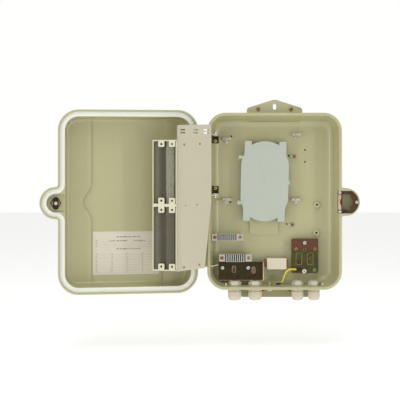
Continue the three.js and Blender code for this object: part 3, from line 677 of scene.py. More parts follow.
@dataclass(frozen=True)
class PlainMetal:
    """Bright or brassy metal with fine turning marks and a little tarnish."""

    name: str
    colour: Colour
    tarnish: Colour
    rough: float = 0.3
    streak: tuple[float, float, float] = (1, 1, 1)

    def build(self) -> bpy.types.Material:
        """Makes the material.

        Returns:
            The finished material.
        """
        g = Graph(self.name)
        spots, marks = g.noise(3.0, 3), g.noise(0.8, 2, self.streak)
        g.feed(g.shader, {
            "Base Color": g.mixed(self.colour, self.tarnish, spots.smooth(0.5, 0.72) * 0.7),
            "Metallic": 0.9,
            "Roughness": self.rough - 0.05 + 0.2 * marks,
            "Normal": g.bump(marks, 0.015, 0.5),
        })
        return g.material


@dataclass(frozen=True)
class Foam:
    """Closed-cell foam strip: small pits, matt, the pits' bottoms darkened with painted shade."""

    name: str
    colour: Colour

    def build(self) -> bpy.types.Material:
        """Makes the material.

        Returns:
            The finished material.
        """
        g = Graph(self.name)
        cells = g.node("ShaderNodeTexVoronoi", {}, {"Vector": g.place(), "Scale": 900.0})
        wide = g.noise(25, 2)
        base = g.mixed(tinted(self.colour, 0.95), tinted(self.colour, 1.03), wide)
        # Where the bump sinks into pits the colour is darker: painted shade in the pits.
        g.feed(g.shader, {
            "Base Color": g.mixed(base, tinted(self.colour, 0.86), cells.below(0.22) * 0.5),
            "Roughness": 0.86 + 0.08 * wide,
            "Normal": g.bump(cells, 0.08, 0.5),
        })
        return g.material


@dataclass(frozen=True)
class Jacket:
    """Wire insulation: one colour with a slowly turning stripe of another, from the tube's own UV map."""

    name: str
    colour: Colour
    stripe: Colour
    start: float = 0.86
    twist: float = 0.32
    width: float = 0.1

    def build(self) -> bpy.types.Material:
        """Makes the material.

        Returns:
            The finished material.
        """
        g = Graph(self.name)
        around, along = g.surface()
        mark = (around + (1.5 - self.start) - self.twist * along).wrapped(1.0).band(0.5 - self.width, 0.5 + self.width)
        fine = g.noise(0.8, 2)
        base = g.mixed(self.colour, tinted(self.colour, 0.88), g.noise(6, 2).smooth(0.5, 0.7))
        g.feed(g.shader, {
            "Base Color": g.mixed(base, self.stripe, mark),
            "Roughness": 0.32 + 0.14 * fine,
            "Normal": g.bump(fine, 0.02, 0.4),
        })
        return g.material


@dataclass(frozen=True)
class Ledger:
    """The lid's paper table: rules, and short grey bars where handwriting and headings would stand."""

    name: str
    paper: Colour = (0.67, 0.63, 0.5)
    ink: Colour = (0.22, 0.22, 0.2)
    rows: int = 8
    columns: int = 4

    def build(self) -> bpy.types.Material:
        """Makes the material; across and up run from 0 to 1 over the sheet.

        Returns:
            The finished material.
        """
        g = Graph(self.name)
        across, up = g.surface()
        inside = across.band(0.035, 0.965)
        row_height = 0.47 / self.rows
        table = up.band(0.045, 0.515) * inside
        rules = (up - 0.045).wrapped(row_height).below(0.0045) * table
        head = up.band(0.64, 0.815) * inside
        head_rules = (up - 0.64).wrapped(0.0583).below(0.004) * head
        frame = (across - 0.5).absolute().band(0.4625, 0.4655) * up.band(0.045, 0.94)
        cell = (across - 0.035).wrapped(0.93 / self.columns)
        line_at = (up - 0.045).wrapped(row_height)
        entry = cell.band(0.004, 0.034) * line_at.band(0.018, 0.036) * table
        first = cell.band(0.010, 0.034) * (up - 0.64).wrapped(0.0583).band(0.018, 0.036) * across.below(0.13) * head
        titles = (up.band(0.862, 0.888) * across.band(0.34, 0.72)).either(
            up.band(0.582, 0.608) * across.band(0.34, 0.72)
        )
        sub = up.band(0.772, 0.796) * across.band(0.25, 0.52).either(across.band(0.62, 0.79))
        broken = g.noise(1.5, 1, (1, 1, 0.01)).smooth(0.44, 0.5)
        writing = entry.either(first).either(titles).either(sub) * broken
        marks = rules.either(head_rules).either(frame) * 0.4
        fibres = g.noise(12, 4)
        base = g.mixed(tinted(self.paper, 0.97), tinted(self.paper, 1.03), fibres)
        g.feed(g.shader, {
            "Base Color": g.mixed(base, self.ink, (marks * 1.5).either(writing * 0.95)),
            "Roughness": 0.5 + 0.1 * fibres,
            "Normal": g.bump(g.noise(0.8, 2), 0.01, 0.3),
        })
        return g.material


@dataclass(frozen=True)
class ShadedCoverSheet:
    """A dark, half-glossy sheet, its darkness painted shade, with a lighter, scratched stretch along one side that is a
    painted reflection.
    """

    name: str
    # dark is painted shade, the sheet's paint as it looks in the box's shadow; pale is the colour of the painted
    # reflection and painted light.
    dark: Colour = (0.052, 0.043, 0.018)
    pale: Colour = (0.25, 0.25, 0.17)

    def build(self) -> bpy.types.Material:
        """Makes the material; across runs from 0 at the fold to 1 at the far edge, up from 0 to 1.

        Returns:
            The finished material.
        """
        g = Graph(self.name)
        across, up = g.surface()
        drift, scratch = g.noise(20, 3), g.noise(2.5, 4, (1, 1, 0.3))
        edge = across + (drift - 0.5) * 0.08
        # The lighter stretch near the fold, fainter low down: a painted reflection.
        strip = edge.smooth(0.12, 0.16) * (1 - edge.smooth(0.44, 0.5)) * (0.25 + 0.75 * up.smooth(0.42, 0.5))
        # Lighter towards the far edge: painted light.
        grey = edge.smooth(0.6, 1.0) * 0.7
        # A reddish patch low down: a painted reflection of the zinc plates.
        zinc_reflection = (1 - up.smooth(0.28, 0.34)) * drift.smooth(0.52, 0.66) * strip.above(0.1)
        base = g.mixed(self.dark, self.pale, strip.either(grey) * (1 - scratch.smooth(0.56, 0.7) * 0.5))
        g.feed(g.shader, {
            "Base Color": g.mixed(base, (0.22, 0.09, 0.04), zinc_reflection * 0.8),
            "Roughness": 0.42 + 0.2 * drift,
            "Normal": g.bump(scratch, 0.02, 0.4),
        })
        return g.material


SHELL = Moulded("shell_plastic", (0.46, 0.442, 0.24), rough=0.36, variation=0.035, coat=0.5, coat_rough=0.19)
# The wall brackets have the shell's colour: the top one's is made lighter as painted light, the bottom one's darker as
# painted shade from the box above it.
ROOF_LIT_PAINT = Moulded("top_bracket_painted_light", (0.52, 0.495, 0.3), rough=0.42, variation=0.03)
FOOT_SHADED_PAINT = Moulded("bottom_bracket_painted_shade", (0.33, 0.30, 0.155), rough=0.5, variation=0.04)
SHADE = Moulded("hole_shade", (0.02, 0.019, 0.012), rough=0.8)
GASKET = Foam("gasket_foam", (0.82, 0.83, 0.75))
LEDGER = Ledger("label_paper")
NYLON = Moulded("gland_nylon", (0.62, 0.565, 0.435), rough=0.42, variation=0.04, blotch_mm=20, grain_mm=0.6)
PALE_NYLON = Moulded("pale_nylon", (0.72, 0.68, 0.56), rough=0.4, variation=0.04, blotch_mm=18, grain_mm=0.6)
NUT_NYLON = Moulded("locknut_nylon", (0.68, 0.69, 0.56), rough=0.4, variation=0.04, blotch_mm=18, grain_mm=0.6)
CLIP_NYLON = Moulded("clip_nylon", (0.46, 0.43, 0.32), rough=0.45, variation=0.05, blotch_mm=12, grain_mm=0.6)
BLOCK = Moulded("block_plastic", (0.665, 0.605, 0.455), rough=0.4, variation=0.03, blotch_mm=18, grain_mm=0.7)
TRAY = Moulded("tray_plastic", (0.455, 0.49, 0.42), rough=0.48, variation=0.025, blotch_mm=50, grain_mm=0.8)
TAUPE = PowderCoat("frame_paint", (0.54, 0.51, 0.375))
# The panel's paint is the frame plate's paint made lighter: the extra lightness is painted light on the panel's face.
LIT_FRAME_PAINT = PowderCoat("panel_paint", (0.68, 0.655, 0.465))
# The cover behind the windows: its dark colour is painted shade, with painted reflections.
COVER_SHADE = ShadedCoverSheet("cover_painted_shade_and_reflection")
# Darker than bare zinc: besides the film's own dark hue, the dark reflections these parts show in this light are
# painted into the tints (painted reflection).
DARK_ZINC = Passivated(
    "dark_passivated_zinc", ((0.034, 0.022, 0.009), (0.052, 0.04, 0.014), (0.03, 0.033, 0.013), (0.075, 0.035, 0.02)),
    blotch_mm=26.0,
)
# The earth plate's colours are partly its chromate film and partly painted reflection: brown above -113 mm and greenish
# below, split by height.
EARTH_ZINC = Passivated(
    "earth_plate_zinc", ((0.06, 0.052, 0.02), (0.09, 0.09, 0.033), (0.09, 0.05, 0.026), (0.075, 0.088, 0.03)),
    blotch_mm=24.0, reflection_split_z=-113.0, above=(0.15, 0.07, 0.042),
)
KEEPER_ZINC = Passivated("keeper_zinc", ((0.06, 0.035, 0.02), (0.12, 0.075, 0.045), (0.09, 0.05, 0.03)), rough=0.28)
PINK_ZINC = Passivated("keeper_bright_zinc", ((0.72, 0.34, 0.27), (0.8, 0.5, 0.34), (0.86, 0.66, 0.5)), rough=0.25)
GOLD_PINK = Passivated("gold_pink_zinc", ((0.85, 0.6, 0.36), (0.85, 0.5, 0.38), (0.88, 0.72, 0.42)), rough=0.28)
BRACKET_ZINC = Passivated("bracket_zinc", ((0.3, 0.15, 0.04), (0.42, 0.22, 0.07), (0.2, 0.12, 0.04)), 9.0)
BRIGHT = PlainMetal("bright_zinc", (0.78, 0.78, 0.74), (0.42, 0.4, 0.3), 0.24)
COPPERY = PlainMetal("coppery_zinc", (0.42, 0.23, 0.12), (0.14, 0.09, 0.04), 0.26)
DULL = PlainMetal("dull_zinc", (0.5, 0.42, 0.3), (0.3, 0.22, 0.13), 0.4)
BRASSY = PlainMetal("brassy_zinc", (0.5, 0.37, 0.17), (0.16, 0.07, 0.03), 0.26)
RUBBED = PlainMetal("rubbed_zinc", (0.46, 0.24, 0.17), (0.26, 0.14, 0.08), 0.3)
GREEN_GOLD = PlainMetal("green_gold_zinc", (0.36, 0.42, 0.16), (0.2, 0.22, 0.07), 0.3)
RIVET = PlainMetal("rivet_copper", (0.42, 0.24, 0.13), (0.25, 0.15, 0.08), 0.42)
ALUMINIUM = PlainMetal("clamp_aluminium", (0.55, 0.54, 0.5), (0.42, 0.41, 0.37), 0.36, (1, 1, 0.1))
BLACK = Moulded("black_sleeve", (0.014, 0.013, 0.012), rough=0.4, variation=0.1, blotch_mm=5)
YELLOW = Jacket("wire_jacket", (0.72, 0.56, 0.035), (0.02, 0.22, 0.1))
TIE = Moulded("tie_nylon", (0.75, 0.74, 0.62), rough=0.4, blotch_mm=6)


@dataclass
class Bench:
    """Where pieces are finished and put on the frame's bodies."""

    made: dict[str, bpy.types.Material] = field(default_factory=dict)
    count: int = 0

    def material(self, finish: Any) -> bpy.types.Material:
        """The finish's material, made once.

        Args:
            finish: A finish with a name.

        Returns:
            Its material.
        """
        if finish.name not in self.made:
            self.made[finish.name] = finish.build()
        return self.made[finish.name]

    def put(
        self,
        name: str,
        shape: Form,
        finish: Any,
        body: str,
        slot: str,
        stands_for: Sequence[str] = (),
        bevel: float = 0.0,
        smooth: float = 32.0,
    ) -> bpy.types.Object:
        """Makes a piece, dresses it and lets it ride.

        Args:
            name: The piece's name.
            shape: Its form.
            finish: One of the finishes.
            body: The frame's body that it moves with.
            slot: The record's material slot; not used.
            stands_for: Nodes of the frame that it replaces.
            bevel: Width of its edge rounding in millimetres, or 0.
            smooth: Edges flatter than this many degrees are shaded smooth.

        Returns:
            The piece.
        """
        mesh = shape.mesh(name)
        mesh.shade_smooth()
        mesh.set_sharp_from_angle(angle=math.radians(smooth))
        mesh.materials.append(self.material(finish))
        piece = bpy.data.objects.new(name, mesh)
        bpy.context.scene.collection.objects.link(piece)
        if bevel:
            edge = piece.modifiers.new("edges", "BEVEL")
            edge.width, edge.segments = bevel * MM, 2
            edge.limit_method, edge.angle_limit = "ANGLE", math.radians(smooth)
            edge.harden_normals = True
        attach(piece, body)
        if stands_for:
            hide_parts(*stands_for)
        self.count += 1
        log.info("%s rides on %s, %d faces", name, body, len(mesh.polygons))
        return piece


def unwrapped(piece: bpy.types.Object, across: Callable[[np.ndarray], np.ndarray]) -> None:
    """Gives a piece a UV map worked out from its points.

    Args:
        piece: The piece.
        across: Takes the points in millimetres and gives two numbers for each.
    """
    mesh = piece.data
    co = np.zeros(len(mesh.vertices) * 3)
    mesh.vertices.foreach_get("co", co)
    corner = np.zeros(len(mesh.loops), np.int32)
    mesh.loops.foreach_get("vertex_index", corner)
    layer = mesh.uv_layers.new(name="sheet")
    layer.data.foreach_set("uv", across(co.reshape(-1, 3) / MM)[corner].astype(np.float32).ravel())


# ---- small hardware -------------------------------------------------------------------------


@dataclass(frozen=True)
class PanScrew:
    """A pan-head screw seen from the front, with its washer and the start of its shank."""

    at: tuple[float, float]
    seat: float
    radius: float
    shank: float = 3.0
    washer: bool = True
    turn: float = 20.0

    def form(self) -> Form:
        """The head is a dome: its height falls as the root of 1 - (r / R) squared.

        Returns:
            The head, washer and shank as one form.
        """
        r = self._head_radius()
        washer = self._washer_height()
        rise = 0.42 * r
        a = np.linspace(0, math.pi / 2, 7)[:-1]
        dome = np.stack([r * np.cos(a), self.seat - washer - 0.12 * r - rise * np.sin(a)], axis=1)
        foot = [(self.radius * 0.4, self.seat + self.shank), (self.radius * 0.4, self.seat - 0.05)]
        flat = [(self.radius, self.seat - 0.05), (self.radius, self.seat - washer)] if self.washer else []
        profile = np.array([*foot, *flat, (r, self.seat - washer - 0.01)] + dome.tolist())
        head = Form().lathe(profile, self.at, sides=24)
        top = self.seat - washer - 0.12 * r - rise
        return carved(head, [self._bar(angle, 0.17 * r, top - 1, top + 0.5 * r) for angle in self._angles()])

    def _angles(self) -> tuple[float, ...]:
        """The directions of the recess's arms."""
        return self.turn, self.turn + 90.0

    def _washer_height(self) -> float:
        """The thickness of the washer, or 0 without one."""
        return 0.16 * self.radius if self.washer else 0.0

    def _head_radius(self) -> float:
        """The radius of the head inside its washer."""
        return self.radius * (0.74 if self.washer else 1.0)

    def _bar(self, degrees: float, half: float, low: float, high: float) -> Form:
        """One straight bar across the head, turned about the screw's axis.

        Args:
            degrees: The bar's direction.
            half: Half its width.
            low: Its front plane.
            high: Its back plane.

        Returns:
            The bar.
        """
        r = self._head_radius()
        long = 0.72 * r
        groove = Form().box((-long, long), (low, high), (-half, half))
        c, s = math.cos(math.radians(degrees)), math.sin(math.radians(degrees))

        def place(p: np.ndarray) -> np.ndarray:
            """Turns the groove about the screw's axis and puts it in place."""
            x, z = p[:, 0] * c - p[:, 2] * s, p[:, 0] * s + p[:, 2] * c
            return np.stack([self.at[0] + x, p[:, 1], self.at[1] + z], axis=1)

        return groove.moved(place)

    def put(self, bench: Bench, name: str, finish: Any, slot: str, stands_for: Sequence[str] = ()) -> None:
        """Puts the screw on the box, with a dark cross of painted shade at the bottom of its recess.

        Args:
            bench: The bench that finishes it.
            name: The screw's name.
            finish: Its metal.
            slot: The record's material slot.
            stands_for: Nodes of the frame that it replaces.
        """
        bench.put(name, self.form(), finish, "box", slot, stands_for)
        # The dark cross is painted shade: the shadow in the bottom of the recess.
        r = self._head_radius()
        floor = self.seat - self._washer_height() - 0.54 * r + 0.5 * r
        bars = [self._bar(angle, 0.2 * r, floor - 0.3 * r, floor + 0.02) for angle in self._angles()]
        bench.put(f"{name}_recess_painted_shade", carved(bars[0], (), bars[1:]), SHADE, "box", "black_sleeve")


# ---- the box --------------------------------------------------------------------------------


@dataclass
class BaseShell:
    """The moulded back half of the box, with its rim, latch ear, knuckles, posts and inside pad."""

    wall: tuple[float, float, float] = (141.5, 189.5, 35.0)
    back_fillet: float = 9.5
    draft: float = 5.7
    rim: tuple[float, float, float] = (152.0, 200.0, 41.5)
    rim_back: float = -51.6
    rim_edge: float = 1.4
    inner: tuple[float, float, float] = (145.5, 193.5, 35.0)
    floor_y: float = -3.5
    floor_fillet: tuple[float, float] = (18.0, 13.0)
    ear: float = 31.2
    ear_back: float = -32.0
    glands: tuple[tuple[float, float], ...] = ((-89.5, 15.5), (-42.7, 15.5), (54.0, 13.5), (91.3, 13.5))
    gland_y: float = -31.0
    bosses: tuple[tuple[float, float], ...] = ((100.6, -9.9), (99.5, -74.8))
    holes: tuple[tuple[float, float], ...] = (
        (-96.3, 147.7), (73.6, 116.3), (73.6, 88.6), (-98.4, -4.2), (36.4, 102.7), (31.6, -54.7),
    )
    posts: tuple[tuple[float, float, float], ...] = (
        (-134.5, -82.6, -36.7), (-77.3, -82.6, -36.7), (-118.5, -129.7, -36.7), (-57.8, -129.7, -36.7),
        (-117.2, -152.6, -34.7), (-58.7, -152.6, -34.7),
        (71.4, -96.7, -20.7), (51.5, -110.7, -20.7), (94.6, -110.7, -20.7), (70.3, -161.5, -20.7),
    )

    def _outside(self) -> np.ndarray:
        """Rows from the back up the wall, round the ear's underside and over the rim to its inner edge.

        Returns:
            The rows.
        """
        w, h, r = self.wall
        rows = []
        for a in np.linspace(0, math.pi / 2, 7):
            g = self.back_fillet * (math.sin(a) - 1)
            rows.append(at_depth(shell_ring(w + g, h + g, r + g), -self.back_fillet * (1 - math.cos(a))))
        reach = (self.ear_back + 10) / (self.rim_back + 10)
        g = self.draft * reach
        rows.append(at_depth(shell_ring(w + g, h + g, r + g), self.ear_back))
        for e in (1.6, 0.8, 0.2, 0.0):
            y = self.ear_back - 1.6 + math.sqrt(1.6**2 - (1.6 - e) ** 2)
            rows.append(at_depth(shell_ring(w + g, h + g, r + g, self.ear - e), y))
        g = self.draft
        rows.append(at_depth(shell_ring(w + g, h + g, r + g, self.ear), self.rim_back + 1.2))
        rows.append(at_depth(shell_ring(w + g + 0.6, h + g + 0.6, r + g, self.ear), self.rim_back))
        rw, rh, rr = self.rim
        rows.append(at_depth(shell_ring(rw - 0.6, rh - 0.6, rr - 0.6, self.ear), self.rim_back))
        rows.append(at_depth(shell_ring(rw, rh, rr, self.ear), self.rim_back - 0.7))
        for a in np.linspace(0, math.pi / 2, 5):
            g = self.rim_edge * (1 - math.cos(a))
            y = RIM_Y + self.rim_edge * (1 - math.sin(a))
            rows.append(at_depth(shell_ring(rw - g, rh - g, rr - g, self.ear - g, 5 + g), y))
        return np.stack(rows)

    def _inside(self) -> np.ndarray:
        """Rows from the rim's inner edge down the inner wall to the floor, through a quarter ellipse.

        Returns:
            The rows.
        """
        w, h, r = self.inner
        rows = []
        for a in np.linspace(math.pi / 2, 0, 5):
            g = self.rim_edge * (1 - math.cos(a))
            rows.append(at_depth(shell_ring(w + g, h + g, r + g), RIM_Y + self.rim_edge * (1 - math.sin(a))))
        foot = self.floor_y - self.floor_fillet[1]
        slope = 8.0
        for a in np.linspace(0, math.pi / 2, 8):
            g = -slope - self.floor_fillet[0] * (1 - math.cos(a))
            y = foot + self.floor_fillet[1] * math.sin(a)
            rows.append(at_depth(shell_ring(w + g, h + g, max(16.0, r - 4 + g * 0.6)), y))
        return np.stack(rows)

    def _thick_top(self) -> Form:
        """The thicker middle of the top wall: a wedge that grows from nothing at the rim towards the floor.

        Returns:
            The wedge.
        """
        side = np.array([(-57.8, 193.4), (-9.0, 180.5), (-2.0, 180.5), (-2.0, 192.0), (-40.0, 196.0)])
        ends = [np.column_stack([np.full(len(side), x), side]) for x in (-57.5, 60.0)]
        return Form().grid(np.stack(ends))

    def _knuckles(self) -> list[Form]:
        """The three hinge knuckles with the web that carries each.

        Returns:
            The tools that are joined on.
        """
        forms = []
        for first in (0, 2, 4):
            low, high = KNUCKLE_ENDS[first], KNUCKLE_ENDS[first + 1]
            forms.append(Form().rod(LID_HINGE, 7.0, low + 0.5, high - 0.5, Axis.Z, 40))
            forms.append(Form().box((LID_HINGE[0], -146.5), (-54.6, -49.0), (low + 0.5, high - 0.5)))
        return forms

    def _seat(self) -> list[Form]:
        """The keeper's shallow seat and the well that the cam turns in.

        Returns:
            The tools that are cut out.
        """
        cz = LATCH[1]
        cuts = []
        for half, radius, deep, left in ((25.5, 28.3, -54.7, 141.8), (18.5, 23.5, -36.0, 146.6)):
            lean = math.degrees(math.asin(half / radius))
            outline = joined(
                np.array([(left, cz + half), (left, cz - half)]), arc(LATCH, radius, -lean, lean, 24)
            )
            cuts.append(Form().prism(outline, deep, RIM_Y - 2))
        return cuts

    def build(self, bench: Bench) -> None:
        """Builds the shell as one mesh.

        Args:
            bench: The bench that finishes each piece.
        """
        outside = Form().grid(np.concatenate([self._outside(), self._inside()]))
        joins = [
            Form().prism(rounded((-112, 112), (-199, -186), 1.5, 3), -50, -12),
            Form().prism(rounded((-52, 59), (170, 217), 5, 6), -2.2, -0.02),
            Form().prism(rounded((-68, 77), (-216, -170), 5, 6), -2.2, -0.02),
            Form().prism(rounded((-54, 11.5), (-79, 118), 6, 8), -3, -7.3),
            self._thick_top(),
            *[Form().lathe(np.array([(8.6, -2.5), (8.6, -3.5), (7.2, -4.6), (6.8, -10.0)]), at) for at in self.bosses],
            *[Form().lathe(np.array([(6.6, -2.5), (5.4, -5.5), (5.0, top)]), (x, z)) for x, z, top in self.posts],
            *[Form().box((-146.5, -125.5), (-44.7, -37), (z - 10, z + 10)) for z in (140, 25)],
            *self._knuckles(),
        ]
        cuts = [
            Form().box((-107, 106), (-54, -14), (-192.0, -170)),
            *self._seat(),
            Form().rod(LID_HINGE, 2.9, -156, 156, Axis.Z, 24),
            *[Form().rod((x, self.gland_y), r - 3.2, -203, -180, Axis.Z, 40) for x, r in self.glands],
            Form().rod((-10, -42), 3.4, -203, -180, Axis.Z, 20),
            Form().prism(rounded((-1.25, 8.25), (208.1, 223.1), 4.7), 1, -3),
            *[Form().rod(at, 2.1, -1.2, -8, sides=20) for at in self.holes],
            *[Form().rod(at, 2.5, -1.2, -12, sides=20) for at in self.bosses],
        ]
        shell = carved(outside, cuts, joins)
        bench.put("base_shell_fine", shell, SHELL, "box", "shell_plastic", ["base_shell"], bevel=0.45, smooth=38)
        # Dark discs at the bottom of the screw holes and boss bores: painted shade for the shadow down the holes.
        hole_shade_discs = Form()
        for x, z in self.holes:
            hole_shade_discs.rod((x, z), 2.0, -3.3, -2.4, sides=20)
        for x, z in self.bosses:
            hole_shade_discs.rod((x, z), 2.4, -7.0, -6.2, sides=20)
        bench.put("screw_hole_painted_shade", hole_shade_discs, SHADE, "box", "black_sleeve")


@dataclass
class WallBrackets:
    """The two plates that hang the box, with their screws."""

    y: tuple[float, float] = (-4.7, -2.5)
    top_slot: tuple[float, float] = (3.5, 215.6)
    top_screws: tuple[tuple[float, float], ...] = ((-34.4, 210.6), (41.4, 210.6))
    bottom_slot: tuple[float, float] = (-60.0, -211.0)
    bottom_screws: tuple[tuple[float, float], ...] = ((-22.9, -208.0), (37.1, -208.0))

    def build(self, bench: Bench) -> None:
        """Builds both plates and the four screws.

        Args:
            bench: The bench that finishes each piece.
        """
        x, z = self.top_slot
        roof = joined(
            np.array([(-60.5, 190), (67.5, 190)]),
            arc((59.5, 206.9), 8, 0, 72, 8), arc((x, 211.5), 20.6, 72, 108, 10), arc((-52.5, 206.9), 8, 108, 180, 8),
        )
        top = carved(
            Form().prism(roof, *self.y),
            [
                Form().prism(rounded((x - 3.75, x + 3.75), (z - 6.5, z + 6.5), 3.7), -6, 0),
                *[Form().rod(at, 2.3, -6, 0) for at in self.top_screws],
            ],
        )
        # The top bracket's lighter colour is painted light.
        bench.put("top_bracket_fine", top, ROOF_LIT_PAINT, "box", "shell_plastic", ["top_bracket"], bevel=0.5)
        x, z = self.bottom_slot
        foot = carved(
            Form().prism(rounded((-75, 83.5), (-223, -190), 6), *self.y),
            [
                Form().prism(rounded((x - 5, x + 5), (z - 3, z + 3), 2.9), -6, 0),
                *[Form().rod(at, 2.3, -6, 0) for at in self.bottom_screws],
            ],
        )
        # The bottom bracket's darker colour is painted shade.
        bench.put("bottom_bracket_fine", foot, FOOT_SHADED_PAINT, "box", "shell_plastic", ["bottom_bracket"], bevel=0.5)
        for row, places, finish, radius in (
            ("top", self.top_screws, BRASSY, 5.0), ("bottom", self.bottom_screws, COPPERY, 4.4),
        ):
            for i, at in enumerate(places, 1):
                screw = PanScrew(at, -5.0, radius, turn=35.0 * i)
                name = f"{row}_bracket_screw_{i}"
                slot = "passivated_zinc"
                screw.put(bench, f"{name}_fine", finish, slot, [name])


@dataclass
class Keeper:
    """The latch plate in the base's ear: a dark frame with a bright strip at its inner edge."""

    y: tuple[float, float] = (-57.0, -55.0)
    screws: tuple[tuple[float, float], ...] = ((147.5, 19.6), (147.5, -23.6), (186.0, -2.0))

    def build(self, bench: Bench) -> None:
        """Builds the plate, the rubbed strip on it and its screws.

        Args:
            bench: The bench that finishes each piece.
        """
        cx, cz = LATCH
        half, radius = 25.1, 27.9
        lean = math.degrees(math.asin(half / radius))
        left = 142.5
        outline = joined(
            arc((left + 2, cz + half - 2), 2, 90, 180, 4), arc((left + 2, cz - half + 2), 2, 180, 270, 4),
            arc(LATCH, radius, -lean, lean, 24),
        )
        window = joined(
            np.array([(cx - 8, cz + 17.5), (cx - 8, cz - 17.5), (cx + 10, cz - 17.5)]),
            arc((cx + 4, cz), 12, -59, 59, 16), np.array([(cx + 10, cz + 17.5)]),
        )
        plate = carved(
            Form().prism(outline, *self.y),
            [Form().prism(window, -60, -52), *[Form().rod(at, 1.9, -60, -52) for at in self.screws]],
        )
        bench.put("keeper_plate_fine", plate, KEEPER_ZINC, "box", "passivated_zinc", ["keeper_plate"], bevel=0.35)
        wave = np.linspace(-1, 1, 25)
        edge = np.stack([left + 8.4 - 3.2 * np.exp(-((wave * 2.4) ** 2)), cz + wave * 17.2], axis=1)
        strip = np.concatenate([edge, np.array([(left + 1.2, cz + 17.2), (left + 1.2, cz - 17.2)])])
        bench.put(
            "keeper_rubbed_strip", Form().prism(strip, -57.25, -57.03), PINK_ZINC, "box", "passivated_zinc"
        )
        for i, at in enumerate(self.screws, 1):
            screw = PanScrew(at, -57.3, 3.4, 8.0, turn=25.0 * i)
            name = f"keeper_screw_{i}"
            screw.put(bench, f"{name}_fine", BRIGHT, "bright_zinc", [name])


def lid_turn(points: np.ndarray) -> np.ndarray:
    """From the lid's shut place to its open one."""
    return turned_about(points, LID_HINGE, LID_OPEN)


def frame_turn(points: np.ndarray) -> np.ndarray:
    """From the swing frame's shut place to its open one."""
    return turned_about(points, FRAME_HINGE, FRAME_OPEN)


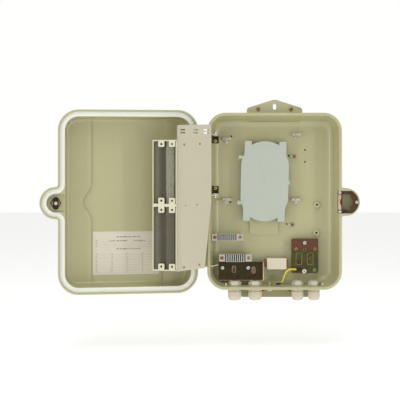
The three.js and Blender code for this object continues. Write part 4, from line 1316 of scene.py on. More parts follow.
@dataclass
class Lid:
    """The moulded lid with its raised middle band, foam gasket and paper table."""

    half: tuple[float, float, float] = (156.5, 205.5, 46.0)
    ear: float = 35.5
    lip_y: float = -55.0
    flange_y: float = -69.0
    face_y: float = -105.5
    floor_y: float = -102.0
    rise: float = 5.0
    band: tuple[float, float] = (-82.5, 81.0)
    bulge: float = 18.0
    label: tuple[tuple[float, float], tuple[float, float]] = ((-73.3, 77.0), (-167.0, -69.0))

    def _ring(self, inset: float) -> np.ndarray:
        """The lid's outline with its ear, set in by inset."""
        w, h, r = self.half
        return shell_ring(w - inset, h - inset, r - inset, self.ear - inset, 5 + inset, 18, 34)

    def _rim(self, inset: float, back: float, front: float) -> Form:
        """The lid's outline, set in, carried between two planes."""
        return Form().prism(self._ring(inset), back, front)

    def _flange(self) -> Form:
        """The lid's outer band, its two outer edges rounded by quarter circles.

        Returns:
            The band, closed.
        """
        soft, lip = 1.6, 0.6
        rows = []
        for a in np.linspace(0, math.pi / 2, 5):
            rows.append(at_depth(self._ring(lip * (1 - math.sin(a))), self.lip_y - lip * (1 - math.cos(a))))
        for a in np.linspace(0, math.pi / 2, 5):
            y = self.flange_y + soft * (1 - math.sin(a))
            rows.append(at_depth(self._ring(soft * (1 - math.cos(a))), y))
        return Form().grid(np.stack(rows))

    def _skin(self, rise: float) -> Form:
        """The outside: drafted wall, then a quarter ellipse into the face.

        Args:
            rise: How far the face stands out more than the sides of the lid.

        Returns:
            The closed outside.
        """
        w, h, r = 147.0, 196.0, 38.0
        rows = [at_depth(shell_ring(152, 201, 42), -68)]
        for a in np.linspace(0, math.pi / 2, 8):
            g = -11.0 * (1 - math.cos(a))
            y = self.face_y + 9 - rise - 9 * math.sin(a)
            rows.append(at_depth(shell_ring(w + g, h + g, r + g), y))
        return Form().grid(np.stack(rows))

    def _hollow(self, rise: float) -> Form:
        """The inside: drafted wall, then a quarter ellipse into the floor.

        Args:
            rise: How far the hollow goes in more.

        Returns:
            The closed inside.
        """
        w, h, r = 137.5, 186.5, 28.0
        rows = [at_depth(shell_ring(140.8, 189.8, 31), -59)]
        for a in np.linspace(0, math.pi / 2, 8):
            g = -8.0 * (1 - math.cos(a))
            y = self.floor_y + 7 - rise - 7 * math.sin(a)
            rows.append(at_depth(shell_ring(w + g, h + g, r + g), y))
        return Form().grid(np.stack(rows))

    def _band(self, grow: float, back: float) -> Form:
        """The middle band as a prism: straight edges, and a smooth swell beside the latch.

        The swell is bulge * (1 + cos u) / 2 over 42 mm each way from the latch's height.

        Args:
            grow: How far each side is moved out.
            back: The plane it starts at.

        Returns:
            The prism.
        """
        left, right = self.band[0] - grow, self.band[1] + grow
        u = np.linspace(-1, 1, 33)
        swell = np.stack([right + self.bulge * (1 + np.cos(math.pi * u)) / 2, LATCH[1] + 42 * u], axis=1)
        outline = np.concatenate([
            np.array([(left, -215.0), (right, -215.0)]), swell, np.array([(right, 215.0), (left, 215.0)])
        ])
        return Form().prism(outline, back, -125)

    def _shell(self) -> Form:
        """The lid in one piece, drawn shut.

        Returns:
            The shell.
        """
        cz = LATCH[1]
        knuckles = []
        for first in (1, 3):
            low, high = KNUCKLE_ENDS[first] + 0.5, KNUCKLE_ENDS[first + 1] - 0.5
            knuckles.append(Form().rod(LID_HINGE, 7.0, low, high, Axis.Z, 40))
            knuckles.append(Form().box((LID_HINGE[0], -154), (-66.8, -61), (low, high)))
        ear = self.ear - 3
        cap = joined(np.array([(130, cz + ear), (130, cz - ear)]), arc(LATCH, ear, -90, 90, 36))
        joins = [
            self._skin(0), combined(self._skin(self.rise), [(self._band(3.5, -60), Joint.KEEP)]),
            Form().prism(cap, -68, -80), *knuckles,
        ]
        pocket = 19.8
        nook = joined(np.array([(136, cz + pocket), (136, cz - pocket)]), arc(LATCH, pocket, -90, 90, 28))
        cuts = [
            self._rim(3.7, self.lip_y + 1, -60), carved(self._rim(4.2, -59, -66), [self._rim(12.7, -58, -67)]),
            self._hollow(0), combined(self._hollow(self.rise), [(self._band(0, -50), Joint.KEEP)]),
            self._rim(12.7, self.lip_y + 1, -60.5), Form().prism(nook, -59, -67),
            Form().rod(LATCH, 9, -90, -60), Form().rod(LID_HINGE, 2.9, -156, 156, Axis.Z, 24),
        ]
        return carved(self._flange(), cuts, joins)

    def _gasket(self) -> Form:
        """A foam strip: a section that fills its channel and laps a little over both edges of it.

        Returns:
            The strip.
        """
        w, h, r = self.half
        section = (
            (4.3, -65.7), (4.3, -60.45), (3.95, -60.4), (3.95, -60.25), (4.5, -60.08), (9.0, -60.05), (14.2, -60.08),
            (14.8, -60.25), (14.8, -60.45), (12.6, -60.55), (12.6, -65.7),
        )
        rows = []
        for inset, y in section:
            rows.append(at_depth(shell_ring(w - inset, h - inset, r - inset, self.ear - inset, 5 + inset, 18, 34), y))
        return Form().grid(np.stack(rows), ring=True)

    def build(self, bench: Bench) -> None:
        """Builds the shell, the gasket and the paper table.

        Args:
            bench: The bench that finishes each piece.
        """
        bench.put(
            "lid_shell_fine", self._shell().moved(lid_turn), SHELL, "lid", "shell_plastic", ["lid_shell"],
            bevel=0.45, smooth=38,
        )
        gasket = bench.put(
            "lid_gasket_fine", self._gasket().moved(lid_turn), GASKET, "lid", "gasket_foam", ["lid_gasket"], smooth=50
        )
        (x0, x1), (z0, z1) = self.label
        face = self.floor_y - self.rise + 0.3
        sheet = Form().prism(rounded((x0, x1), (z0, z1), 1.0, 3), face, face + 0.4).moved(lid_turn)
        paper = bench.put("lid_label_fine", sheet, LEDGER, "lid", "label_paper", ["lid_label"])

        def across(points: np.ndarray) -> np.ndarray:
            """From the turned sheet back to its own width and height, reading left to right when open.

            Args:
                points: Points of the sheet, in millimetres.

            Returns:
                Two numbers for each point.
            """
            flat = turned_about(points, LID_HINGE, -LID_OPEN)
            return np.stack([(x1 - flat[:, 0]) / (x1 - x0), (flat[:, 2] - z0) / (z1 - z0)], axis=1)

        unwrapped(paper, across)


@dataclass
class Lock:
    """The lid's quarter-turn lock: barrel, nut, cam, and the screw that holds the cam."""

    def build(self, bench: Bench) -> None:
        """Builds the four pieces, drawn shut and turned open.

        Args:
            bench: The bench that finishes each piece.
        """
        cx, cz = LATCH
        barrel = np.array([
            (4.4, -58), (8.7, -58), (8.7, -80.3), (10.5, -80.3), (10.5, -84.2), (9.7, -85), (5.2, -85), (4.4, -84.2),
        ])
        form = Form().lathe(barrel, LATCH, sides=40, ring=True).moved(lid_turn)
        bench.put("lock_barrel_fine", form, BRASSY, "lid", "passivated_zinc", ["lock_barrel"], smooth=40)
        nut = carved(Form().prism(hexagon(LATCH, 12.2), -66.7, -61.5), [Form().rod(LATCH, 9, -70, -58)]).moved(lid_turn)
        bench.put("lock_nut_fine", nut, KEEPER_ZINC, "lid", "passivated_zinc", ["lock_nut"], bevel=0.5)
        blade = rounded((cx - 6, cx + 6), (cz - 14, cz + 14), 5.5)
        cam = carved(
            Form().prism(blade, -53.5, -51), [Form().box((cx - 0.6, cx + 0.6), (-83, -90), (cz - 3, cz + 3))],
            [Form().rod(LATCH, 4, -84, -51.5)],
        )
        bench.put(
            "lock_cam_fine", cam.moved(lid_turn), DARK_ZINC, "lock_cam", "passivated_zinc", ["lock_cam"], bevel=0.4
        )
        screw = Form().lathe(np.array([(1.6, -53), (1.6, -50.95), (3.6, -50.95), (3.6, -49.9), (2.6, -49.0)]), LATCH)
        slot = Form().box((cx - 4, cx + 4), (-49.6, -48), (cz - 0.45, cz + 0.45))
        bench.put("lock_screw", carved(screw, [slot]).moved(lid_turn), BRIGHT, "lock_cam", "bright_zinc")


@dataclass
class SwingFrame:
    """The sheet-metal frame that carries the adapters, with its cream panel, lighter than the plate as painted light,
    and its cover, dark with painted shade.
    """

    leaf_x: tuple[float, float] = (-117.9, -28.9)
    leaf_y: float = -48.0
    sheet: float = 1.5
    bend: float = -47.0
    panel: tuple[float, float, float] = (55.5, -152.0, 138.0)
    rivets: tuple[tuple[float, float], ...] = ((86.7, 127.5), (45.8, 129.2), (87.8, -144.3), (47.4, -140.6))
    small_holes: tuple[tuple[float, float], ...] = ((83.2, -7.8), (52.6, -6.2))
    slots: tuple[float, ...] = (89.9, 57.8, 28.9)
    windows: tuple[tuple[float, float], ...] = ((-3.3, 135.3), (-149.3, -10.6))
    tab_places: tuple[float, ...] = (10.6, 35.3)

    def _on_panel(self, points: np.ndarray) -> np.ndarray:
        """From a drawing along the panel, X along it and +Y behind it, to the panel's shut place."""
        turned = turned_about(points, (0, 0), self.bend)
        return turned + np.array([self.leaf_x[1], self.leaf_y - 2, 0])

    def _leaf(self) -> Form:
        """The long taupe plate with its slots and holes and the two ears that the pins pass.

        Returns:
            The plate.
        """
        near, far = self.leaf_x
        front, back = self.leaf_y - self.sheet / 2, self.leaf_y + self.sheet / 2
        outline = joined(
            np.array([(far, -153.0)]), arc((far - 4, 166.6), 4, 0, 88, 6),
            np.array([(near, 173.5), (near, 0.0), (near + 17, -148.5)]),
        )
        joins = [Form().box((far - self.sheet, far), (front, back + 2), (-153, 166))]
        cuts = []
        hx, hy = FRAME_HINGE
        for z, side in ((140, 1), (25, -1)):
            level = z + side * 11
            low, high = level - self.sheet / 2, level + self.sheet / 2
            joins.append(Form().rod(FRAME_HINGE, 5.2, low, high, Axis.Z, 28))
            joins.append(Form().box((hx, near + 6), (hy + 1.5, front + 0.3), (low, high)))
            cuts.append(Form().rod(FRAME_HINGE, 2.4, low - 1, high + 1, Axis.Z, 20))
        for along in self.slots:
            for z in (160.6, 154.0):
                mid = hx + along
                cuts.append(Form().prism(rounded((mid - 6.5, mid + 6.5), (z - 1.7, z + 1.7), 0.8, 3), -56, -40))
        cuts += [Form().rod((hx + along, z), 1.6, -56, -40, sides=16) for along, z in self.small_holes]
        return carved(Form().prism(outline, front, back), cuts, joins).moved(frame_turn)

    def _panel(self) -> Form:
        """The cream frame, lighter than the plate as painted light: two windows, a crossbar, and two drilled tabs at
        each window's ends.

        Returns:
            The panel.
        """
        length, bottom, top = self.panel
        thick = (-0.6, 0.6)
        joins = [Form().box((length - 1.2, length), (-0.6, 1.2), (bottom, top))]
        cuts, holes = [], []
        for low, high in self.windows:
            cuts.append(Form().prism(rounded((2.2, 53.4), (low, high), 0.8, 3), -3, 3))
            for edge, side in ((high, -1), (low, 1)):
                ends = sorted((edge - side, edge + side * 13))
                for along in self.tab_places:
                    joins.append(Form().prism(rounded((along - 7, along + 7), ends, 2.6, 5), *thick))
                    holes.append(Form().rod((along, edge + side * 6.5), 2.6, -3, 3, sides=20))
                    for beside in (-9.2, 9.2):
                        notch = (along + beside - 1.3, along + beside + 1.3)
                        cuts.append(Form().box(notch, (-3, 3), sorted((edge - side * 0.9, edge + side))))
        folded = carved(carved(Form().box((0, length), thick, (bottom, top)), cuts), holes, joins).moved(self._on_panel)
        seam, y = self.leaf_x[1], (self.leaf_y - 2.6, self.leaf_y - 1.35)
        straps = [
            Form().box((seam - 16, seam + 0.4), y, (bottom, top)),
            Form().box((seam - 66, seam - 10), y, (118, top)),
            Form().box((seam - 66, seam - 10), y, (bottom + 4, -132)),
        ]
        return carved(folded, (), straps).moved(frame_turn)

    def _cover(self) -> Form:
        """The sheet behind the windows, dark with painted shade and painted reflections, folded round at both edges.

        Returns:
            The cover.
        """
        _, bottom, top = self.panel
        z = (bottom + 2, top - 2)
        sheet = carved(
            Form().box((4, 53.6), (-8.2, -7), z), (),
            [Form().box((52.4, 53.6), (-8.2, -0.9), z), Form().box((4, 5.2), (-8.2, -0.9), z)],
        )
        return sheet.moved(self._on_panel).moved(frame_turn)

    def build(self, bench: Bench) -> None:
        """Builds the plate, its rivets, the cream frame, lighter as painted light, and the cover, dark with painted
        shade.

        Args:
            bench: The bench that finishes each piece.
        """
        bench.put("swing_plate_fine", self._leaf(), TAUPE, "swing_frame", "frame_paint", ["swing_plate"], bevel=0.25)
        front = self.leaf_y + self.sheet / 2
        for i, (along, z) in enumerate(self.rivets, 1):
            at = (FRAME_HINGE[0] + along, z)
            head = np.array([(2.4, front + 0.02), (2.3, front + 0.5), (1.5, front + 1.0), (0.6, front + 1.15)])
            bench.put(
                f"frame_rivet_{i}", Form().lathe(head, at, sides=20).moved(frame_turn), RIVET, "swing_frame",
                "bright_zinc",
            )
        panel = self._panel()
        # The frame's lighter paint is painted light.
        bench.put("adapter_frame_fine", panel, LIT_FRAME_PAINT, "swing_frame", "panel_paint", ["adapter_frame"], bevel=0.2)
        # The cover's colours are painted shade and painted reflections.
        cover = bench.put(
            "adapter_cover_fine", self._cover(), COVER_SHADE, "swing_frame", "smoked_cover", ["adapter_cover"], bevel=0.2
        )

        def across(points: np.ndarray) -> np.ndarray:
            """From the open cover back to its own width and height.

            Args:
                points: Points of the cover, in millimetres.

            Returns:
                Two numbers for each point.
            """
            shut = turned_about(points, FRAME_HINGE, -FRAME_OPEN) - np.array([self.leaf_x[1], self.leaf_y - 2, 0])
            flat = turned_about(shut, (0, 0), -self.bend)
            return np.stack([flat[:, 0] / self.panel[0], (flat[:, 2] + 152) / 290], axis=1)

        unwrapped(cover, across)


@dataclass
class SpliceTray:
    """The splice tray: a low box with two drums and a thin cover on clips, a little askew."""

    centre: tuple[float, float] = (-20.6, 44.4)
    turn: float = -1.4
    half: tuple[float, float] = (54.5, 91.5)
    back_y: float = -14.0
    split_y: float = -26.0
    cover: float = 2.2
    hinges: tuple[float, float] = (54.0, -50.0)

    def _outline(self, inset: float) -> np.ndarray:
        """Straight shoulders that swell to the full width, and a shallow arch let into each end.

        Args:
            inset: How far the outline is set in.

        Returns:
            The closed outline.
        """
        w, h = self.half[0] - inset, self.half[1] - inset
        shoulder, notch, dip = w - 6.8, 31.5 + inset, 9.0
        rise = (notch**2 + dip**2) / (2 * dip)
        lean = math.degrees(math.asin(notch / rise))
        t = np.linspace(0, 1, 13)[:, None]
        ease = t * t * (3 - 2 * t)
        upper = np.concatenate([shoulder + (w - shoulder) * (1 - ease), 40 + 26 * t], axis=1)
        right = np.concatenate([upper, np.array([(shoulder, h), (notch, h), (notch, h - dip + 0.4)])])
        arch = arc((0, h - rise), rise, 90 - lean, 90 + lean, 24)[1:-1]
        mirror = np.array([-1.0, 1.0])
        left = (right * mirror)[::-1]
        top = np.concatenate([right, arch, left])
        return joined(top, -top)

    def _placed(self, points: np.ndarray) -> np.ndarray:
        """Turns points about the view line by the tray's tilt and moves them to its centre.

        Args:
            points: Points in the tray's own frame.

        Returns:
            The points in their place.
        """
        a = math.radians(self.turn)
        x, z = points[:, 0], points[:, 2]
        return np.stack([
            self.centre[0] + x * math.cos(a) - z * math.sin(a), points[:, 1],
            self.centre[1] + x * math.sin(a) + z * math.cos(a),
        ], axis=1)

    def build(self, bench: Bench) -> None:
        """Builds the base with its drums, and the cover with its clips and snap.

        Args:
            bench: The bench that finishes each piece.
        """
        front = self.split_y + 0.3
        ring = np.array([(20, self.back_y - 1), (22, self.back_y - 1), (22, front + 2), (20, front + 2)])
        drums = [Form().lathe(ring, (0, up), sides=40, ring=True) for up in (46, -46)]
        sockets = [Form().box((-61.5, -53), (-23.6, -21), (up - 5, up + 5)) for up in self.hinges]
        base = carved(Form().prism(self._outline(0), self.back_y, front), (), sockets)
        hollow = carved(base, [Form().prism(self._outline(2), self.back_y - 2, front - 1)])
        tray = carved(hollow, (), drums).moved(self._placed)
        bench.put("tray_base_fine", tray, TRAY, "box", "tray_plastic", ["tray_base"], bevel=0.3)
        sheet = Form().prism(self._outline(0), self.split_y, self.split_y - self.cover)
        arms = []
        for up in self.hinges:
            arms += [
                Form().box((-60.5, -50), (-29.7, -26.5), (up - 3, up + 3)),
                Form().box((-60.5, -57.5), (-29.7, -25), (up - 3, up + 3)),
                Form().rod((-58.5, -28), 1.4, up - 4.5, up + 4.5, Axis.Z, 16),
            ]
        arms.append(Form().box((52, 57.6), (self.split_y - self.cover, self.split_y), (-6, 2)))
        lid = carved(sheet, (), arms).moved(self._placed)
        bench.put("tray_cover_fine", lid, TRAY, "tray_lid", "tray_plastic", ["tray_cover"], bevel=0.3)


@dataclass
class Glands:
    """The four cable glands: threaded body, seal, locknut inside, and ribbed cap below."""

    places: tuple[tuple[float, float], ...] = ((-89.5, 15.5), (-42.7, 15.5), (54.0, 13.5), (91.3, 13.5))
    y: float = -31.0
    seat: float = -199.3
    hexagon_height: float = 6.0
    inside: float = -191.7

    def _cap(self, x: float, radius: float) -> Form:
        """A domed cap whose skirt has ribs: the radius swings by a cosine of the angle, less towards the tip.

        Args:
            x: The gland's place along the wall.
            radius: The cap's radius.

        Returns:
            The cap.
        """
        top = self.seat - self.hexagon_height - 0.3
        bore, hole = radius - 3.2, radius * 0.52
        t = np.linspace(0, 1, 9)
        skirt = np.stack([np.full(4, radius), np.linspace(top - 0.6, top - 11, 4)], axis=1)
        nose, angle = hole + 1.2, t * math.pi / 2
        dome = np.stack([nose + (radius - nose) * np.cos(angle), top - 11 - 9.5 * np.sin(angle)], axis=1)
        inner = np.array([(hole, top - 20.0), (hole, top - 12), (bore, top - 11), (bore, top), (radius - 0.6, top)])
        profile = np.concatenate([skirt, dome[1:], inner])
        sides = 96
        a = np.linspace(0, 2 * math.pi, sides, endpoint=False)
        depth = np.zeros(len(profile))
        depth[: len(skirt) + 5] = 0.45
        radii = profile[:, :1] - depth[:, None] * (0.5 + 0.5 * np.cos(16 * a)[None, :]) ** 2
        rows = np.stack([x + radii * np.cos(a), self.y + radii * np.sin(a), np.repeat(profile[:, 1:], sides, 1)], -1)
        return Form().grid(rows, ring=True)

    def build(self, bench: Bench) -> None:
        """Builds four pieces for each gland.

        Args:
            bench: The bench that finishes each piece.
        """
        for i, (x, radius) in enumerate(self.places, 1):
            at, thread, bore = (x, self.y), radius - 3.6, radius - 7
            flange = Form().prism(hexagon(at, radius), self.seat - self.hexagon_height, self.seat, Axis.Z)
            z = np.arange(self.inside - 0.2, -181.6, 0.25)
            ridges = thread - 0.45 + 0.45 * np.abs(np.mod(z, 1.5) - 0.75) / 0.75
            stem = np.concatenate([
                np.array([(thread - 0.4, self.seat - 16), (thread - 0.4, self.inside - 0.5)]),
                np.stack([ridges, z], axis=1),
            ])
            body = carved(
                flange, [Form().rod(at, bore, self.seat - 18, -180, Axis.Z, 32)],
                [Form().lathe(stem, at, Axis.Z, 40)],
            )
            slot = "nylon"
            bench.put(f"gland_{i}_body_fine", body, NYLON, "box", slot, [f"gland_{i}_body"], bevel=0.3)
            hole = radius - 3.2
            nut = carved(
                Form().prism(hexagon(at, radius * 0.99), self.inside, self.inside + 7, Axis.Z),
                [Form().rod(at, hole, self.inside - 1, self.inside + 8, Axis.Z, 40)],
            )
            finish = PALE_NYLON if i < 3 else NUT_NYLON
            bench.put(f"gland_{i}_locknut_fine", nut, finish, "box", slot, [f"gland_{i}_locknut"], bevel=1.1)
            bench.put(
                f"gland_{i}_cap_fine", self._cap(x, radius), NYLON, f"gland_cap_{i}", slot, [f"gland_{i}_cap"],
                smooth=40,
            )
            tip = self.seat - self.hexagon_height - 20.3
            seal = np.array([
                (bore * 0.55, tip + 3), (radius * 0.5, tip + 3), (radius * 0.5, tip + 8), (bore * 0.6, tip + 8),
            ])
            bench.put(
                f"gland_{i}_seal", Form().lathe(seal, at, Axis.Z, 32, ring=True), BLACK, "box", "black_sleeve"
            )


@dataclass
class CableClamps:
    """Two ribbed aluminium bars that hold the cables' strength members."""

    bars: tuple[tuple[str, tuple[float, float], tuple[float, float], tuple[float, float]], ...] = (
        ("upper", (-141.0, -70.8), (-90.0, -75.2), (-127.5, -87.1)),
        ("lower", (-125.0, -51.3), (-137.7, -121.7), (-110.0, -66.5)),
    )
    y: float = -37.0
    thick: float = 8.0
    ribs: int = 9
    gap: float = 0.54
    screw_inset: float = 6.5

    def build(self, bench: Bench) -> None:
        """Builds each bar and its two screws.

        Args:
            bench: The bench that finishes each piece.
        """
        for name, x, z, span in self.bars:
            back, front = self.y, self.y - self.thick
            pitch = (span[1] - span[0]) / self.ribs
            middle = sum(z) / 2
            places = ((x[0] + self.screw_inset, middle), (x[1] - self.screw_inset, middle))
            starts = span[0] + pitch * np.arange(self.ribs + 1)
            cuts = [
                Form().box(
                    (s - pitch * self.gap / 2, s + pitch * self.gap / 2), (front - 2, back - 0.9), (z[0] - 2, z[1] + 2)
                )
                for s in starts.tolist()
            ]
            cuts += [Form().rod(at, 2.2, front - 3, back + 2) for at in places]
            bar = carved(
                Form().box(x, (self.y - self.thick * 0.6, back), z), cuts,
                [Form().box(span, (front, back - 0.01), (z[0] - 0.8, z[1] + 0.8))],
            )
            node = f"cable_clamp_{name}"
            bench.put(f"{node}_fine", bar, ALUMINIUM, "box", "clamp_aluminium", [node], bevel=0.2)
            # Dark bars at the bottom of each groove between the ribs: painted shade.
            depths = Form()
            for s in starts.tolist():
                half = pitch * self.gap / 2 - 0.05
                depths.box((s - half, s + half), (back - 1.6, back - 1.0), (z[0] + 0.2, z[1] - 0.2))
            bench.put(f"{node}_gap_painted_shade", depths, SHADE, "box", "black_sleeve")
            for i, at in enumerate(places, 1):
                screw = PanScrew(at, self.y - self.thick * 0.6 - 0.05, 4.6, 5, turn=30.0 * i)
                finish = COPPERY if i == 1 else BRASSY
                screw.put(bench, f"{node}_screw_{i}", finish, "passivated_zinc")


@dataclass
class CablePlate:
    """The dark zinc plate at the lower left, turned out at its right edge."""

    x: tuple[float, float] = (-126.0, -24.0)
    z: tuple[float, float] = (-181.0, -138.6)
    y: float = -35.0
    sheet: float = 1.5
    screws: tuple[tuple[float, float], ...] = ((-117.2, -152.6), (-58.7, -152.6))
    slots: tuple[tuple[float, float], ...] = ((-91.2, -156.0), (-46.6, -157.5))

    def build(self, bench: Bench) -> None:
        """Builds the plate, the rubbed rims of its slots and fold, and two screws.

        Args:
            bench: The bench that finishes each piece.
        """
        front = self.y - self.sheet
        cuts = [
            Form().prism(rounded((sx - 3.5, sx + 3.5), (sz - 7, sz + 7), 3.4), front - 3, self.y + 2)
            for sx, sz in self.slots
        ]
        cuts += [Form().rod(at, 2.2, front - 3, self.y + 2) for at in self.screws]
        plate = carved(
            Form().box(self.x, (front, self.y), self.z), cuts,
            [Form().box((self.x[1] - self.sheet, self.x[1]), (self.y - 9, self.y - 0.01), self.z)],
        )
        bench.put("cable_plate_fine", plate, DARK_ZINC, "box", "passivated_zinc", ["cable_plate"], bevel=0.3)
        for i, (sx, sz) in enumerate(self.slots, 1):
            outer = rounded((sx - 4.6, sx + 4.6), (sz - 8.1, sz + 8.1), 4.5)
            inner = rounded((sx - 3.6, sx + 3.6), (sz - 7.1, sz + 7.1), 3.5)
            rows = np.stack([at_depth(o, y) for o, y in (
                (outer, front - 0.02), (outer, front - 0.25), (inner, front - 0.25), (inner, front - 0.02),
            )])
            bench.put(f"cable_plate_slot_rim_{i}", Form().grid(rows, ring=True), RUBBED, "box", "passivated_zinc")
        lip = Form().box((self.x[1] - self.sheet, self.x[1]), (self.y - 9.3, self.y - 9.02), self.z)
        sill = Form().box((self.x[0] + 0.5, self.x[1] - 2), (front - 0.2, front - 0.02), (self.z[0], self.z[0] + 0.9))
        bench.put("cable_plate_rubbed_sill", sill, RUBBED, "box", "passivated_zinc")
        bench.put("cable_plate_bare_edge", lip, GOLD_PINK, "box", "passivated_zinc", bevel=0.08)
        for i, at in enumerate(self.screws, 1):
            screw = PanScrew(at, front - 0.05, 3.7, 4, turn=40.0 * i)
            screw.put(bench, f"cable_plate_screw_{i}", BRIGHT, "bright_zinc")


@dataclass
class EarthPlate:
    """The zinc plate at the lower right, with two lanced straps and four screws."""

    x: tuple[float, float] = (40.7, 102.4)
    z: tuple[float, float] = (-166.0, -86.8)
    y: float = -21.0
    sheet: float = 1.5
    straps: tuple[float, float] = (58.1, 84.0)
    screws: tuple[tuple[float, float], ...] = ((71.4, -96.7), (51.5, -110.7), (94.6, -110.7), (70.3, -161.5))

    def build(self, bench: Bench) -> None:
        """Builds the plate, its bright cut edges and its screws.

        Args:
            bench: The bench that finishes each piece.
        """
        y, front = self.y, self.y - self.sheet
        windows, joins, slots = [], [], []
        for sx in self.straps:
            windows.append(Form().box((sx - 7, sx + 7), (y - 2.05, y + 2), (-145.4, -120.6)))
            joins += [
                Form().box((sx - 5.5, sx + 5.5), (y - 3.6, y - 2.1), (-147, -119)),
                Form().box((sx - 5.5, sx + 5.5), (y - 3.6, y - 0.01), (-147, -145.5)),
                Form().box((sx - 5.5, sx + 5.5), (y - 3.6, y - 0.01), (-120.5, -119)),
            ]
            slots.append(Form().box((sx - 2, sx + 2), (y - 6, y - 2.05), (-143, -127)))
        holes = [Form().rod(at, 2.2, y - 4, y + 2) for at in self.screws]
        holes += [Form().rod((71.4, -112), 2.6, y - 4, y + 2), Form().rod((93.9, -158.6), 3, y - 4, y + 2)]
        plate = carved(
            Form().prism(rounded(self.x, self.z, 4), front, y), [*windows, *slots, *holes], joins
        )
        bench.put("earth_plate_fine", plate, EARTH_ZINC, "box", "passivated_zinc", ["earth_plate"], bevel=0.3)
        for i, (at, finish) in enumerate(zip(self.screws, (BRIGHT, COPPERY, COPPERY, BRIGHT)), 1):
            seat = -24.05 if i == 4 else front - 0.05
            screw = PanScrew(at, seat, 3.8, 3, turn=27.0 * i)
            slot = "bright_zinc" if finish is BRIGHT else "passivated_zinc"
            screw.put(bench, f"earth_plate_screw_{i}", finish, slot)
        edges = Form()
        for sx in self.straps:
            for side in (-1, 1):
                mid = sx + side * 6.6
                edges.box((mid - 0.35, mid + 0.35), (front - 0.2, front - 0.02), (-146.5, -119.5))
            for level in (-146.6, -119.4):
                edges.box((sx - 5.2, sx + 5.2), (y - 3.85, y - 3.62), (level - 0.35, level + 0.35))
        bench.put("earth_plate_cut_edges", edges, GREEN_GOLD, "box", "passivated_zinc")
        for i, (at, radius) in enumerate((((71.4, -112.0), 2.7), ((93.9, -158.6), 3.1)), 1):
            low, high = front - 0.02, front - 0.35
            ring = np.array([(radius, low), (radius + 0.9, low), (radius + 0.6, high), (radius, high)])
            bench.put(
                f"earth_plate_hole_rim_{i}", Form().lathe(ring, at, sides=28, ring=True), GREEN_GOLD, "box",
                "passivated_zinc",
            )


@dataclass
class TerminalBlock:
    """A cream block on a small zinc bracket."""

    block_x: tuple[float, float] = (-15.7, 28.6)
    block_z: tuple[float, float] = (-156.2, -131.3)

    def build(self, bench: Bench) -> None:
        """Builds the bracket, the block with its parting line, and two wire entries below.

        Args:
            bench: The bench that finishes each piece.
        """
        z = (-153.0, -134.0)
        bracket = carved(
            Form().box((-19.5, 33), (-14, -12.6), z), (),
            [
                Form().box((-19.5, -18.1), (-13, -3.8), z), Form().box((31.6, 33), (-13, -3.8), z),
                Form().box((-19.5, -18.1), (-24, -13), (-150, -137)), Form().box((31.6, 33), (-24, -13), (-150, -137)),
            ],
        )
        bench.put(
            "terminal_bracket_fine", bracket, BRACKET_ZINC, "box", "passivated_zinc", ["terminal_bracket"], bevel=0.25
        )
        (x0, x1), (z0, z1) = self.block_x, self.block_z
        cuts = [Form().box((x0 - 1, x1 + 1), (-31.4, -31.0), (z0 - 1, z0 + 0.4))]
        for sx in (-2.0, 15.0):
            cuts.append(Form().prism(rounded((sx - 4, sx + 4), (z0 - 2, z0 + 2.2), 1.2, 4), -30, -18))
        block = carved(Form().prism(rounded((x0, x1), (z0, z1), 1.5, 5), -34, -14.3), cuts)
        bench.put("terminal_block_fine", block, BLOCK, "box", "nylon", ["terminal_block"], bevel=0.7)


